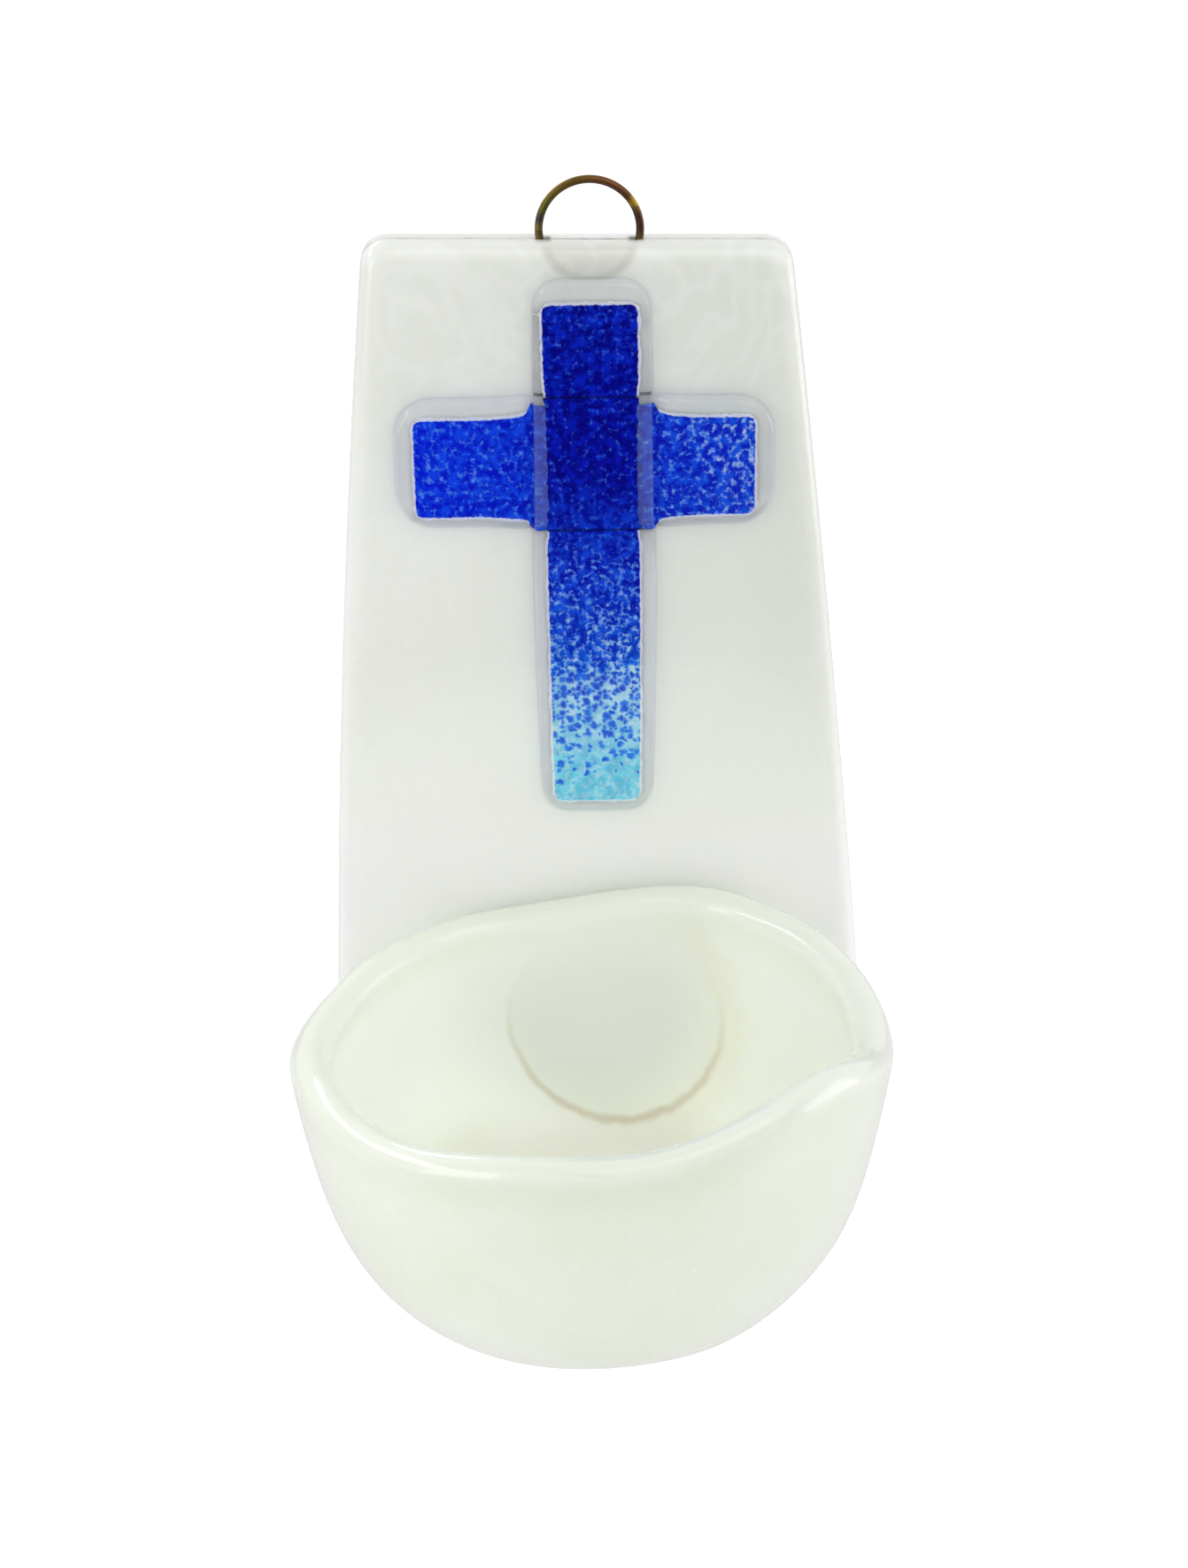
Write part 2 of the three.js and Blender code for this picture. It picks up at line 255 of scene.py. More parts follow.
def milk_group():
    """Colour of milky glass: slow clouds of thicker and thinner milk, fine haze and a few pale seeds."""
    tree, takes, gives = effect(
        "milk",
        [("Place", "Vector"), ("Thin", "Color"), ("Thick", "Color"), ("Seeds", "Float")],
        [("Colour", "Color"), ("Cloud", "Float")],
    )
    cloud = put(tree, "TexNoise", {"Vector": takes["Place"], "Scale": 0.045, "Detail": 4.0, "Roughness": 0.55})
    clouds = step_between(tree, cloud.outputs[0], 0.3, 0.7)
    body = mix_colour(tree, clouds, takes["Thin"], takes["Thick"])
    haze = put(tree, "TexNoise", {"Vector": takes["Place"], "Scale": 1.6, "Detail": 2.0, "Roughness": 0.7})
    hazed = mix_colour(tree, 1.0, body, curve_of(tree, haze.outputs[0], ((0.25, 0.965), (0.75, 1.0))), "MULTIPLY")
    seed = put(tree, "TexVoronoi", {"Vector": takes["Place"], "Scale": 0.13, "Randomness": 1.0})
    seeds = step_between(tree, seed.outputs["Distance"], 0.055, 0.025)
    seeded = mix_colour(tree, math_of(tree, "MULTIPLY", seeds, takes["Seeds"]), hazed, (0.93, 0.95, 0.92, 1))
    tree.links.new(seeded, gives["Colour"])
    tree.links.new(clouds, gives["Cloud"])
    return tree


def mark_group():
    """Mask of one soft round mark at a place, its edge a little uneven."""
    tree, takes, gives = effect(
        "mark",
        [("Place", "Vector"), ("Centre", "Vector"), ("Stretch", "Vector"), ("Radius", "Float"), ("Softness", "Float")],
        [("Mask", "Float"), ("Edge", "Float")],
    )
    away = vector_of(tree, "SUBTRACT", takes["Place"], takes["Centre"]).outputs[0]
    shaped = vector_of(tree, "MULTIPLY", away, takes["Stretch"]).outputs[0]
    reach = vector_of(tree, "LENGTH", shaped).outputs["Value"]
    wander = put(tree, "TexNoise", {"Vector": takes["Place"], "Scale": 0.35, "Detail": 2.0})
    uneven = math_of(tree, "MULTIPLY", math_of(tree, "SUBTRACT", wander.outputs[0], 0.5), takes["Softness"])
    past = math_of(tree, "SUBTRACT", math_of(tree, "ADD", reach, uneven), takes["Radius"])
    soft = math_of(tree, "DIVIDE", past, takes["Softness"])
    tree.links.new(step_between(tree, soft, 0.5, -0.5), gives["Mask"])
    tree.links.new(step_between(tree, math_of(tree, "ABSOLUTE", soft), 0.9, 0.0), gives["Edge"])
    return tree


def grains_group():
    """Fused grains: a mottled sheet with ragged gaps where they lie thick, and loose lumps where they lie thin."""
    tree, takes, gives = effect(
        "grains",
        [("Place", "Vector"), ("Cover", "Float"), ("Ground", "Color"), ("Deep", "Color"), ("Bright", "Color")],
        [("Colour", "Color"), ("Height", "Float")],
    )
    across, _, up = parts_of(tree, takes["Place"])
    flat = put(tree, "CombineXYZ", {0: across, 1: up}).outputs[0]

    def cloud(scale, detail, roughness):
        return put(
            tree, "TexNoise", {"Vector": flat, "Scale": scale, "Detail": detail, "Roughness": roughness},
            noise_dimensions="2D",
        ).outputs

    offset = vector_of(tree, "SUBTRACT", cloud(1.3, 2.0, 0.5)["Color"], (0.5, 0.5, 0.5)).outputs[0]
    moved = vector_of(tree, "ADD", flat, vector_of(tree, "MULTIPLY", offset, (0.65, 0.65, 0)).outputs[0]).outputs[0]

    def lumps(per_mm, least, most, share):
        """Distance in millimetres outside the lumps of one size; the cover says how many there are."""
        cells = put(tree, "TexVoronoi", {"Vector": moved, "Scale": per_mm, "Randomness": 1.0}, voronoi_dimensions="2D")
        chance, size, _ = put(tree, "SeparateColor", {0: cells.outputs["Color"]}).outputs
        there = math_of(tree, "LESS_THAN", chance, math_of(tree, "MULTIPLY", takes["Cover"], share))
        radius = math_of(tree, "MULTIPLY", spread(tree, size, least, most), there)
        reach = math_of(tree, "DIVIDE", cells.outputs["Distance"], per_mm)
        missing = math_of(tree, "SUBTRACT", 1.0, there)
        return math_of(tree, "ADD", math_of(tree, "SUBTRACT", reach, radius), missing)

    loose = math_of(tree, "MINIMUM", lumps(0.85, 0.32, 0.6, 1.55), lumps(1.4, 0.16, 0.36, 1.2))
    patches = math_of(tree, "MULTIPLY", math_of(tree, "SUBTRACT", cloud(0.24, 2.0, 0.5)[0], 0.5), 0.3)
    patchy = math_of(tree, "ADD", takes["Cover"], patches)
    holes = math_of(tree, "SUBTRACT", cloud(1.15, 3.0, 0.6)[0], spread(tree, patchy, 0.26, 0.74))
    holed = math_of(tree, "MULTIPLY", holes, 2.0)
    thick = step_between(tree, takes["Cover"], 0.66, 0.7)
    gap = put(tree, "Mix", {0: thick, 2: loose, 3: holed}, data_type="FLOAT").outputs[0]
    mottle = math_of(tree, "MULTIPLY", step_between(tree, cloud(0.6, 5.0, 0.7)[0], 0.4, 0.66), 0.8)
    near_gap = math_of(tree, "MULTIPLY", step_between(tree, gap, -0.32, 0.0), 0.5)
    body = mix_colour(tree, math_of(tree, "ADD", mottle, near_gap), takes["Deep"], takes["Bright"])
    edge = spread(tree, thick, 0.15, 0.28)
    solid = step_between(tree, math_of(tree, "DIVIDE", gap, edge), 1.0, -1.0)
    halo = math_of(tree, "MULTIPLY", step_between(tree, gap, 0.34, 0.05), 0.27)
    around = mix_colour(tree, halo, takes["Ground"], takes["Bright"])
    tree.links.new(mix_colour(tree, solid, around, body), gives["Colour"])
    tree.links.new(solid, gives["Height"])
    return tree


KILN_SKIN = kiln_skin_group()
MILK = milk_group()
MARK = mark_group()
GRAINS = grains_group()


# Finishes

def finish_for(name):
    """A new material with its Principled shader and the surface's place in millimetres."""
    material = bpy.data.materials.new(name)
    material.use_nodes = True
    tree = material.node_tree
    shader = tree.nodes["Principled BSDF"]
    coordinate = put(tree, "TexCoord")
    place = put(tree, "Mapping", {"Vector": coordinate.outputs["Object"], "Scale": (1000, 1000, 1000)})
    return material, tree, shader, place.outputs[0], coordinate.outputs["Normal"]


def fill_in(tree, shader, fill):
    for key, value in fill.items():
        if isinstance(value, bpy.types.NodeSocket):
            tree.links.new(value, shader.inputs[key])
        else:
            shader.inputs[key].default_value = value


def skin_bump(tree, place, ripple, peel):
    """Normal of a fire-polished skin; ripple and peel are heights in millimetres."""
    height = use(tree, KILN_SKIN, {"Place": place, "Ripple": ripple, "Peel": peel})["Height"]
    return put(tree, "Bump", {"Height": height, "Strength": 1.0, "Distance": MM}).outputs[0]


def milky(tree, shader, scatter):
    """Light spreads inside milky glass over the scatter length in millimetres."""
    fill_in(tree, shader, {
        "Subsurface Weight": 1.0,
        "Subsurface Radius": (1.0, 1.0, 0.9),
        "Subsurface Scale": scatter * MM,
        "IOR": 1.5,
    })


def let_lamps_through(tree, shader, share):
    """Lets this share of the lamps' light pass straight through a glass."""
    path = put(tree, "LightPath")
    through = put(tree, "BsdfTransparent")
    passed = math_of(tree, "MULTIPLY", path.outputs["Is Shadow Ray"], share)
    joined = put(tree, "MixShader", {0: passed, 1: shader.outputs[0], 2: through.outputs[0]})
    tree.links.new(joined.outputs[0], tree.nodes["Material Output"].inputs["Surface"])


def off_strip(tree, place, middle, half_width, half_height, corner, narrowing=0.0):
    """Distance over the plate from the outline of a strip, less than zero under it."""
    away = vector_of(tree, "ABSOLUTE", vector_of(tree, "SUBTRACT", place, middle).outputs[0]).outputs[0]
    x, _, z = parts_of(tree, away)
    to_end = math_of(tree, "POWER", math_of(tree, "DIVIDE", z, half_height), 2.0)
    widened = math_of(tree, "ADD", x, math_of(tree, "MULTIPLY", to_end, narrowing))
    flat = put(tree, "CombineXYZ", {0: widened, 2: z}).outputs[0]
    inner = vector_of(tree, "SUBTRACT", flat, (half_width - corner, 0, half_height - corner)).outputs[0]
    past = vector_of(tree, "MAXIMUM", inner, (0, 0, 0)).outputs[0]
    return math_of(tree, "SUBTRACT", vector_of(tree, "LENGTH", past).outputs["Value"], corner)


def seam_marks(tree, place, body):
    """A broken grey line where the two sheets meet, open between the ring's legs, where the shade in the gap is painted
    dark.
    """
    x, y, z = parts_of(tree, place)
    off_seam = math_of(tree, "ABSOLUTE", math_of(tree, "ADD", y, SHEET))
    wander = put(tree, "TexNoise", {"Vector": place, "Scale": 0.22, "Detail": 3.0}).outputs[0]
    broken = math_of(tree, "MULTIPLY", step_between(tree, wander, 0.46, 0.64), 0.35)
    beside = math_of(tree, "ABSOLUTE", math_of(tree, "SUBTRACT", x, RING_CENTRE.x))
    top = step_between(tree, z, PLATE_TOP - 2.5, PLATE_TOP - 1.5)
    # Painted shade: the open gap between the sheets, between the ring's legs, is painted dark.
    painted_gap_shade = math_of(tree, "MULTIPLY", math_of(tree, "MULTIPLY", step_between(tree, beside, 6.6, 5.8), top), 0.5)
    line = math_of(tree, "MULTIPLY", step_between(tree, off_seam, 0.55, 0.15), math_of(tree, "ADD", broken, painted_gap_shade))
    off_leg = math_of(tree, "ABSOLUTE", math_of(tree, "SUBTRACT", beside, 5.5))
    feet = math_of(tree, "MULTIPLY", step_between(tree, off_leg, 0.9, 0.2), step_between(tree, off_seam, 1.7, 0.7))
    feet = math_of(tree, "MULTIPLY", math_of(tree, "MULTIPLY", feet, top), 0.85)
    return mix_colour(tree, math_of(tree, "MAXIMUM", line, feet), body, tint(96, 92, 86))


def front_sheet_finish():
    """Milky glass with the sunk half of the ring showing through as a faint arc. Painted shade darkens it towards the
    top right and greys it under the strips, with a painted contact shadow at their outline. Painted light brightens it
    low down, beside the bowl and under the low side of the strips, and pale painted reflections swirl in its upper
    part.
    """
    material, tree, shader, place, _ = finish_for("milky_front")
    milk = use(tree, MILK, {
        "Place": place, "Thin": (0.885, 0.903, 0.85, 1), "Thick": (0.925, 0.938, 0.895, 1), "Seeds": 0.25,
    })
    # Painted shade: the plate is darker towards the top right.
    painted_shade_top_right = step_between(tree, vector_of(tree, "DOT_PRODUCT", place, (0.01, 0, 0.008)).outputs["Value"], -0.4, 0.75)
    body = mix_colour(tree, math_of(tree, "MULTIPLY", painted_shade_top_right, 0.72), milk["Colour"], (0.74, 0.765, 0.71, 1))
    # Painted light: the plate is lighter low down, and lighter still beside the bowl.
    painted_light_low = math_of(tree, "MULTIPLY", step_between(tree, parts_of(tree, place)[2], 12.0, -26.0), 0.7)
    body = mix_colour(tree, painted_light_low, body, (0.925, 0.957, 0.893, 1))
    painted_light_by_bowl = math_of(tree, "MULTIPLY", step_between(tree, parts_of(tree, place)[2], -13.0, -23.0), 0.8)
    body = mix_colour(tree, painted_light_by_bowl, body, (0.962, 0.997, 0.905, 1))
    # Painted reflections: pale swirling lines in the upper part of the plate.
    swirl = put(tree, "TexNoise", {"Vector": place, "Scale": 0.06, "Detail": 1.0, "Distortion": 2.2}).outputs[0]
    off_reflection_swirl = math_of(tree, "ABSOLUTE", math_of(tree, "SUBTRACT", swirl, 0.5))
    upper = math_of(tree, "MULTIPLY", step_between(tree, parts_of(tree, place)[2], 30.0, 60.0), 0.2)
    painted_reflection_swirls = math_of(tree, "MULTIPLY", step_between(tree, off_reflection_swirl, 0.1, 0.0), upper)
    body = mix_colour(tree, painted_reflection_swirls, body, (0.98, 0.985, 0.97, 1))
    off_bar = off_strip(tree, place, (BAR_SHIFT, 0, BAR_MIDDLE), BAR_LENGTH / 2, BAR_HEIGHT / 2, BAR_CORNER)
    off_upright = off_strip(
        tree, place, (UPRIGHT_SHIFT, 0, (UPRIGHT_TOP + UPRIGHT_FOOT) / 2),
        UPRIGHT_WIDTH / 2, (UPRIGHT_TOP - UPRIGHT_FOOT) / 2, UPRIGHT_CORNER, UPRIGHT_NARROWING,
    )
    off_cross = math_of(tree, "MINIMUM", off_bar, off_upright)
    # Painted shade: the plate is greyer under the strips, with a painted contact shadow along their outline.
    under = math_of(tree, "MULTIPLY", step_between(tree, off_cross, 0.1, -0.2), 0.05)
    painted_contact_shadow = math_of(tree, "MULTIPLY", step_between(tree, math_of(tree, "ABSOLUTE", off_cross), 0.35, 0.05), 0.3)
    body = mix_colour(tree, math_of(tree, "ADD", under, painted_contact_shadow), body, tint(196, 197, 192))
    low_side = step_between(tree, parts_of(tree, place)[2], BAR_MIDDLE - 4.0, BAR_MIDDLE - 7.0)
    lit = math_of(tree, "MULTIPLY", step_between(tree, off_cross, -0.4, -0.8), math_of(tree, "MULTIPLY", low_side, 0.7))
    body = mix_colour(tree, lit, body, (0.985, 0.99, 0.915, 1))
    away = vector_of(tree, "SUBTRACT", place, tuple(RING_CENTRE)).outputs[0]
    flat = vector_of(tree, "MULTIPLY", away, (1, 0, 1)).outputs[0]
    reach = vector_of(tree, "LENGTH", flat).outputs["Value"]
    off_wire = math_of(tree, "ABSOLUTE", math_of(tree, "SUBTRACT", reach, RING_RADIUS - 0.6))
    arc = math_of(tree, "MULTIPLY", step_between(tree, off_wire, 1.1, 0.2), 0.14)
    disc = math_of(tree, "MULTIPLY", step_between(tree, reach, RING_RADIUS + 0.2, RING_RADIUS - 0.8), 0.17)
    below = step_between(tree, parts_of(tree, place)[2], PLATE_TOP - 0.4, PLATE_TOP - 1.2)
    ghost = math_of(tree, "MULTIPLY", math_of(tree, "ADD", arc, disc), below)
    fill_in(tree, shader, {
        "Base Color": seam_marks(tree, place, mix_colour(tree, ghost, body, tint(150, 146, 134))),
        "Roughness": spread(tree, milk["Cloud"], 0.2, 0.27),
        "Normal": skin_bump(tree, place, 0.35, 0.03),
        "Coat Weight": 0.4,
        "Coat Roughness": 0.06,
    })
    milky(tree, shader, 2.5)
    return material


def back_sheet_finish():
    """The same glass, its wall side matt and pitted from the kiln shelf, with a painted cream highlight on its top edge
    between the ring's legs.
    """
    material, tree, shader, place, _ = finish_for("milky_back")
    milk = use(tree, MILK, {
        "Place": place, "Thin": (0.86, 0.88, 0.82, 1), "Thick": (0.9, 0.915, 0.865, 1), "Seeds": 0.25,
    })
    shelf = step_between(tree, parts_of(tree, place)[1], -0.7, -0.1)
    fibre = put(tree, "TexNoise", {"Vector": place, "Scale": 1.3, "Detail": 6.0, "Roughness": 0.7})
    fibres = math_of(tree, "MULTIPLY", fibre.outputs[0], shelf)
    smooth_height = use(tree, KILN_SKIN, {"Place": place, "Ripple": 0.3, "Peel": 0.03})["Height"]
    height = math_of(tree, "ADD", smooth_height, math_of(tree, "MULTIPLY", fibres, 0.16))
    dulled = mix_colour(tree, fibres, milk["Colour"], tint(214, 218, 212))
    beside = math_of(tree, "ABSOLUTE", math_of(tree, "SUBTRACT", parts_of(tree, place)[0], RING_CENTRE.x))
    top = math_of(
        tree, "MULTIPLY", step_between(tree, parts_of(tree, place)[2], PLATE_TOP - 2.0, PLATE_TOP - 1.0),
        step_between(tree, parts_of(tree, place)[1], -0.2, -0.7),
    )
    # Painted highlight: a cream line on the top edge between the ring's legs.
    painted_seam_highlight = math_of(tree, "MULTIPLY", step_between(tree, beside, 6.2, 5.6), top)
    greyed = mix_colour(tree, math_of(tree, "MULTIPLY", top, 0.6), dulled, (0.74, 0.75, 0.72, 1))
    dulled = mix_colour(tree, painted_seam_highlight, greyed, (0.99, 0.98, 0.93, 1))
    fill_in(tree, shader, {
        "Base Color": seam_marks(tree, place, dulled),
        "Roughness": spread(tree, shelf, 0.24, 0.62),
        "Normal": put(tree, "Bump", {"Height": height, "Strength": 1.0, "Distance": MM}).outputs[0],
    })
    milky(tree, shader, 2.5)
    return material


def bowl_finish():
    """Milky green-white glass, satin outside from the mould, with the bond showing through its back. Painted shade
    darkens the lip, the rim and the right side, painted light brightens the inside walls, and a painted refraction line
    runs along the front rim.
    """
    material, tree, shader, place, _ = finish_for("milky_bowl")
    milk = use(tree, MILK, {
        "Place": place, "Thin": (0.825, 0.878, 0.745, 1), "Thick": (0.875, 0.918, 0.815, 1), "Seeds": 0.6,
    })
    across = put(tree, "Attribute", attribute_name="across_wall").outputs["Fac"]
    inside = step_between(tree, across, 0.6, 1.0)
    # Painted shade: the lip of the rim is darker.
    lip = step_between(tree, math_of(tree, "MULTIPLY", across, math_of(tree, "SUBTRACT", 1.0, across)), 0.0, 0.2)
    painted_shade_lip = mix_colour(tree, math_of(tree, "MULTIPLY", lip, 0.8), milk["Colour"], (0.69, 0.745, 0.64, 1))
    x, y, z = parts_of(tree, place)
    # Painted light: the inside walls are lighter, most of all higher up.
    painted_light_inside = math_of(tree, "MULTIPLY", inside, spread(tree, step_between(tree, z, -64.0, -48.0), 0.3, 0.9))
    deepened = mix_colour(tree, painted_light_inside, painted_shade_lip, (0.895, 0.928, 0.862, 1))
    bottom = math_of(tree, "MULTIPLY", inside, math_of(tree, "MULTIPLY", step_between(tree, z, -54.0, -63.0), 0.6))
    deepened = mix_colour(tree, bottom, deepened, (0.765, 0.735, 0.69, 1))
    below_rim = put(tree, "Attribute", attribute_name="below_rim").outputs["Fac"]
    deep = step_between(tree, below_rim, 1.5, 5.5)
    # Painted shade: darker near the rim.
    painted_shade_rim = math_of(tree, "MULTIPLY", step_between(tree, below_rim, 8.0, 1.0), 0.55)
    deepened = mix_colour(tree, painted_shade_rim, deepened, (0.7, 0.74, 0.645, 1))
    # Painted shade: the bowl is darker towards its right side.
    painted_shade_right = math_of(tree, "MULTIPLY", step_between(tree, x, 2.0, 32.0), 0.45)
    deepened = mix_colour(tree, painted_shade_right, deepened, (0.745, 0.77, 0.715, 1))
    # Painted refraction line: a thin dark line along the front rim's outer shoulder, where the rim's edge shows through
    # the glass.
    off_refraction_line = math_of(tree, "ABSOLUTE", math_of(tree, "SUBTRACT", across, 0.14))
    front = math_of(tree, "MULTIPLY", step_between(tree, y, -62.0, -72.0), step_between(tree, x, -8.0, 2.0))
    painted_refraction_line = math_of(tree, "MULTIPLY", math_of(tree, "MULTIPLY", step_between(tree, off_refraction_line, 0.07, 0.01), front), 0.4)
    deepened = mix_colour(tree, painted_refraction_line, deepened, (0.6, 0.68, 0.62, 1))
    behind = math_of(tree, "MULTIPLY", inside, step_between(tree, y, -24.0, -18.0))
    spot = use(tree, MARK, {
        "Place": place, "Centre": (2.6, 0, -44.2), "Stretch": (1, 0, 0.955), "Radius": 15.1, "Softness": 0.9,
    })
    halo = use(tree, MARK, {
        "Place": place, "Centre": (3.4, 0, -44.2), "Stretch": (1, 0, 0.955), "Radius": 15.4, "Softness": 4.5,
    })
    sunk = math_of(tree, "MULTIPLY", step_between(tree, z, -24.0, -46.0), 0.4)
    bonded = math_of(tree, "MULTIPLY", math_of(tree, "MULTIPLY", spot["Mask"], behind), sunk)
    low = math_of(tree, "MULTIPLY", step_between(tree, z, -36.0, -58.0), 0.36)
    lined = math_of(tree, "MULTIPLY", math_of(tree, "MULTIPLY", spot["Edge"], behind), low)
    aside = math_of(tree, "MULTIPLY", step_between(tree, x, 4.0, 16.0), 0.22)
    haloed = math_of(tree, "MULTIPLY", math_of(tree, "MULTIPLY", halo["Edge"], behind), aside)
    greened = mix_colour(tree, bonded, deepened, (0.775, 0.812, 0.722, 1))
    warmed = mix_colour(tree, haloed, greened, (0.74, 0.66, 0.48, 1))
    edged = mix_colour(tree, lined, warmed, (0.45, 0.32, 0.15, 1))
    mould = put(tree, "TexNoise", {"Vector": place, "Scale": 0.9, "Detail": 4.0, "Roughness": 0.6})
    outside = math_of(tree, "SUBTRACT", 1.0, inside)
    skin = use(tree, KILN_SKIN, {"Place": place, "Ripple": 0.5, "Peel": 0.03})["Height"]
    pressed = math_of(tree, "MULTIPLY", math_of(tree, "MULTIPLY", mould.outputs[0], outside), 0.05)
    polished = put(tree, "Bump", {
        "Height": math_of(tree, "ADD", skin, pressed), "Strength": 1.0, "Distance": MM,
    }).outputs[0]
    fill_in(tree, shader, {
        "Base Color": edged,
        "Roughness": spread(tree, outside, 0.4, 0.46),
        "Normal": polished,
        "Coat Weight": spread(tree, math_of(tree, "MULTIPLY", inside, deep), 1.0, 0.12),
        "Coat Roughness": 0.06,
    })
    milky(tree, shader, 8.0)
    let_lamps_through(tree, shader, 0.75)
    return material


def clear_strip_finish():
    """Clear glass, faintly grey, with fine seeds; lamps reach through it."""
    material, tree, shader, place, _ = finish_for("clear_strip")
    seed = put(tree, "TexVoronoi", {"Vector": place, "Scale": 0.35, "Randomness": 1.0})
    seeds = step_between(tree, seed.outputs["Distance"], 0.07, 0.03)
    cord = put(tree, "TexNoise", {"Vector": place, "Scale": 0.2, "Detail": 3.0, "Distortion": 1.0})
    body = mix_colour(tree, cord.outputs[0], tint(244, 247, 248), tint(249, 251, 252))
    fill_in(tree, shader, {
        "Base Color": mix_colour(tree, math_of(tree, "MULTIPLY", seeds, 0.3), body, tint(205, 210, 212)),
        "Roughness": 0.04,
        "IOR": 1.5,
        "Specular IOR Level": 0.35,
        "Transmission Weight": 1.0,
        "Normal": skin_bump(tree, place, 0.1, 0.008),
    })
    let_lamps_through(tree, shader, 1.0)
    return material


def grain_finish(name, along, start, end, covers, grounds, deeps, brights, shade_lines=(), pressed=0.0):
    """Fused grains whose thickness and colours change along one axis, with a thin pale line at the outline.
    Shade lines are heights at which the layer bends over the bar's edge and a dark line of painted crease shade lies;
    pressed is half the width of the part that lies thin and pale under the upright."""
    material, tree, shader, place, _ = finish_for(name)
    wander = put(tree, "TexNoise", {"Vector": place, "Scale": 0.2, "Detail": 2.0})
    stray = math_of(tree, "MULTIPLY", math_of(tree, "SUBTRACT", wander.outputs[0], 0.5), 6.0)
    run = math_of(tree, "ADD", parts_of(tree, place)[along], stray)
    share = put(tree, "MapRange", {0: run, 1: start, 2: end, 3: 0.0, 4: 1.0}).outputs[0]
    fleck = put(tree, "TexNoise", {"Vector": place, "Scale": 1.2, "Detail": 2.0})
    cover = curve_of(tree, share, covers)
    flecks = spread(tree, step_between(tree, cover, 0.9, 0.6), 0.1, 0.45)
    white = math_of(tree, "MULTIPLY", step_between(tree, fleck.outputs[0], 0.46, 0.64), flecks)
    pale_ground = mix_colour(tree, white, ramp(tree, share, grounds), (0.9, 0.95, 1, 1))
    pool = put(tree, "TexNoise", {"Vector": place, "Scale": 0.5, "Detail": 3.0, "Roughness": 0.6})
    pooled = math_of(tree, "MULTIPLY", step_between(tree, pool.outputs[0], 0.44, 0.58), 0.55)
    ground = mix_colour(tree, pooled, pale_ground, mix_colour(tree, 1.0, pale_ground, (0.3, 0.66, 0.8, 1), "MULTIPLY"))
    grains = use(tree, GRAINS, {
        "Place": place,
        "Cover": cover,
        "Ground": ground,
        "Deep": ramp(tree, share, deeps),
        "Bright": ramp(tree, share, brights),
    })
    outline = put(tree, "Attribute", attribute_name="outline").outputs["Fac"]
    nibble = put(tree, "TexNoise", {"Vector": place, "Scale": 1.8, "Detail": 2.0}).outputs[0]
    rough_line = math_of(tree, "ADD", outline, math_of(tree, "MULTIPLY", math_of(tree, "SUBTRACT", nibble, 0.5), 0.6))
    pale = math_of(tree, "MULTIPLY", step_between(tree, rough_line, 0.42, 0.66), 0.85)
    colour = mix_colour(tree, pale, grains["Colour"], tint(248, 250, 250))
    if pressed:
        beside = math_of(tree, "ABSOLUTE", math_of(tree, "SUBTRACT", parts_of(tree, place)[0], UPRIGHT_SHIFT))
        under = math_of(tree, "MULTIPLY", step_between(tree, beside, pressed + 0.1, pressed - 0.2), 0.07)
        colour = mix_colour(tree, under, colour, tint(96, 156, 250))
    # Painted crease shade: a dark line at each of these heights.
    for height in shade_lines:
        off_shade_line = math_of(tree, "ABSOLUTE", math_of(tree, "SUBTRACT", parts_of(tree, place)[2], height))
        painted_crease_shade = math_of(tree, "MULTIPLY", step_between(tree, off_shade_line, 0.28, 0.06), 0.7)
        colour = mix_colour(tree, painted_crease_shade, colour, tint(0, 2, 60))
    fill_in(tree, shader, {
        "Base Color": colour,
        "Roughness": 0.6,
        "Specular IOR Level": 0.0,
        "Normal": put(tree, "Bump", {"Height": grains["Height"], "Strength": 0.4, "Distance": 0.15 * MM}).outputs[0],
    })
    return material


def upright_grain_finish(name):
    """Cobalt from the top, thinning to white specks, then loose blue grains on turquoise at the foot."""
    edge = BAR_HEIGHT / 2 + BAR_FLARE
    return grain_finish(
        name, 2, UPRIGHT_GRAIN_TOP, UPRIGHT_GRAIN_FOOT,
        ((0.0, 0.82), (0.12, 0.9), (0.42, 0.9), (0.5, 0.77), (0.6, 0.73), (0.69, 0.72), (0.73, 0.63), (0.82, 0.41),
         (0.92, 0.2), (0.96, 0.0)),
        ((0.0, tint(40, 104, 226)), (0.42, tint(56, 124, 236)), (0.55, tint(150, 206, 253)),
         (0.7, tint(196, 240, 253)), (0.82, tint(186, 241, 253)), (0.94, tint(129, 230, 252))),
        ((0.0, tint(0, 2, 138)), (0.3, tint(0, 1, 144)), (0.5, tint(3, 18, 182)), (1.0, tint(8, 92, 236))),
        ((0.0, tint(6, 46, 224)), (0.3, tint(4, 28, 214)), (0.5, tint(24, 88, 248)), (1.0, tint(36, 158, 252))),
        shade_lines=(BAR_MIDDLE + edge, BAR_MIDDLE - edge),
    )


def bar_grain_finish():
    """Cobalt, with white specks that grow thicker towards the right end."""
    return grain_finish(
        "bar_cobalt", 0, -23.2, 21.9,
        ((0.0, 0.79), (0.3, 0.84), (0.64, 0.84), (0.72, 0.82), (0.86, 0.79), (1.0, 0.72)),
        ((0.0, tint(96, 164, 246)), (0.4, tint(100, 168, 246)), (0.75, tint(150, 204, 248)), (1.0, tint(214, 238, 252))),
        ((0.0, tint(2, 24, 222)), (0.4, tint(3, 22, 200)), (0.7, tint(6, 30, 200)), (1.0, tint(6, 36, 206))),
        ((0.0, tint(18, 84, 255)), (0.7, tint(26, 92, 250)), (1.0, tint(30, 104, 250))),
        pressed=UPRIGHT_WIDTH / 2 - UPRIGHT_WAIST,
    )


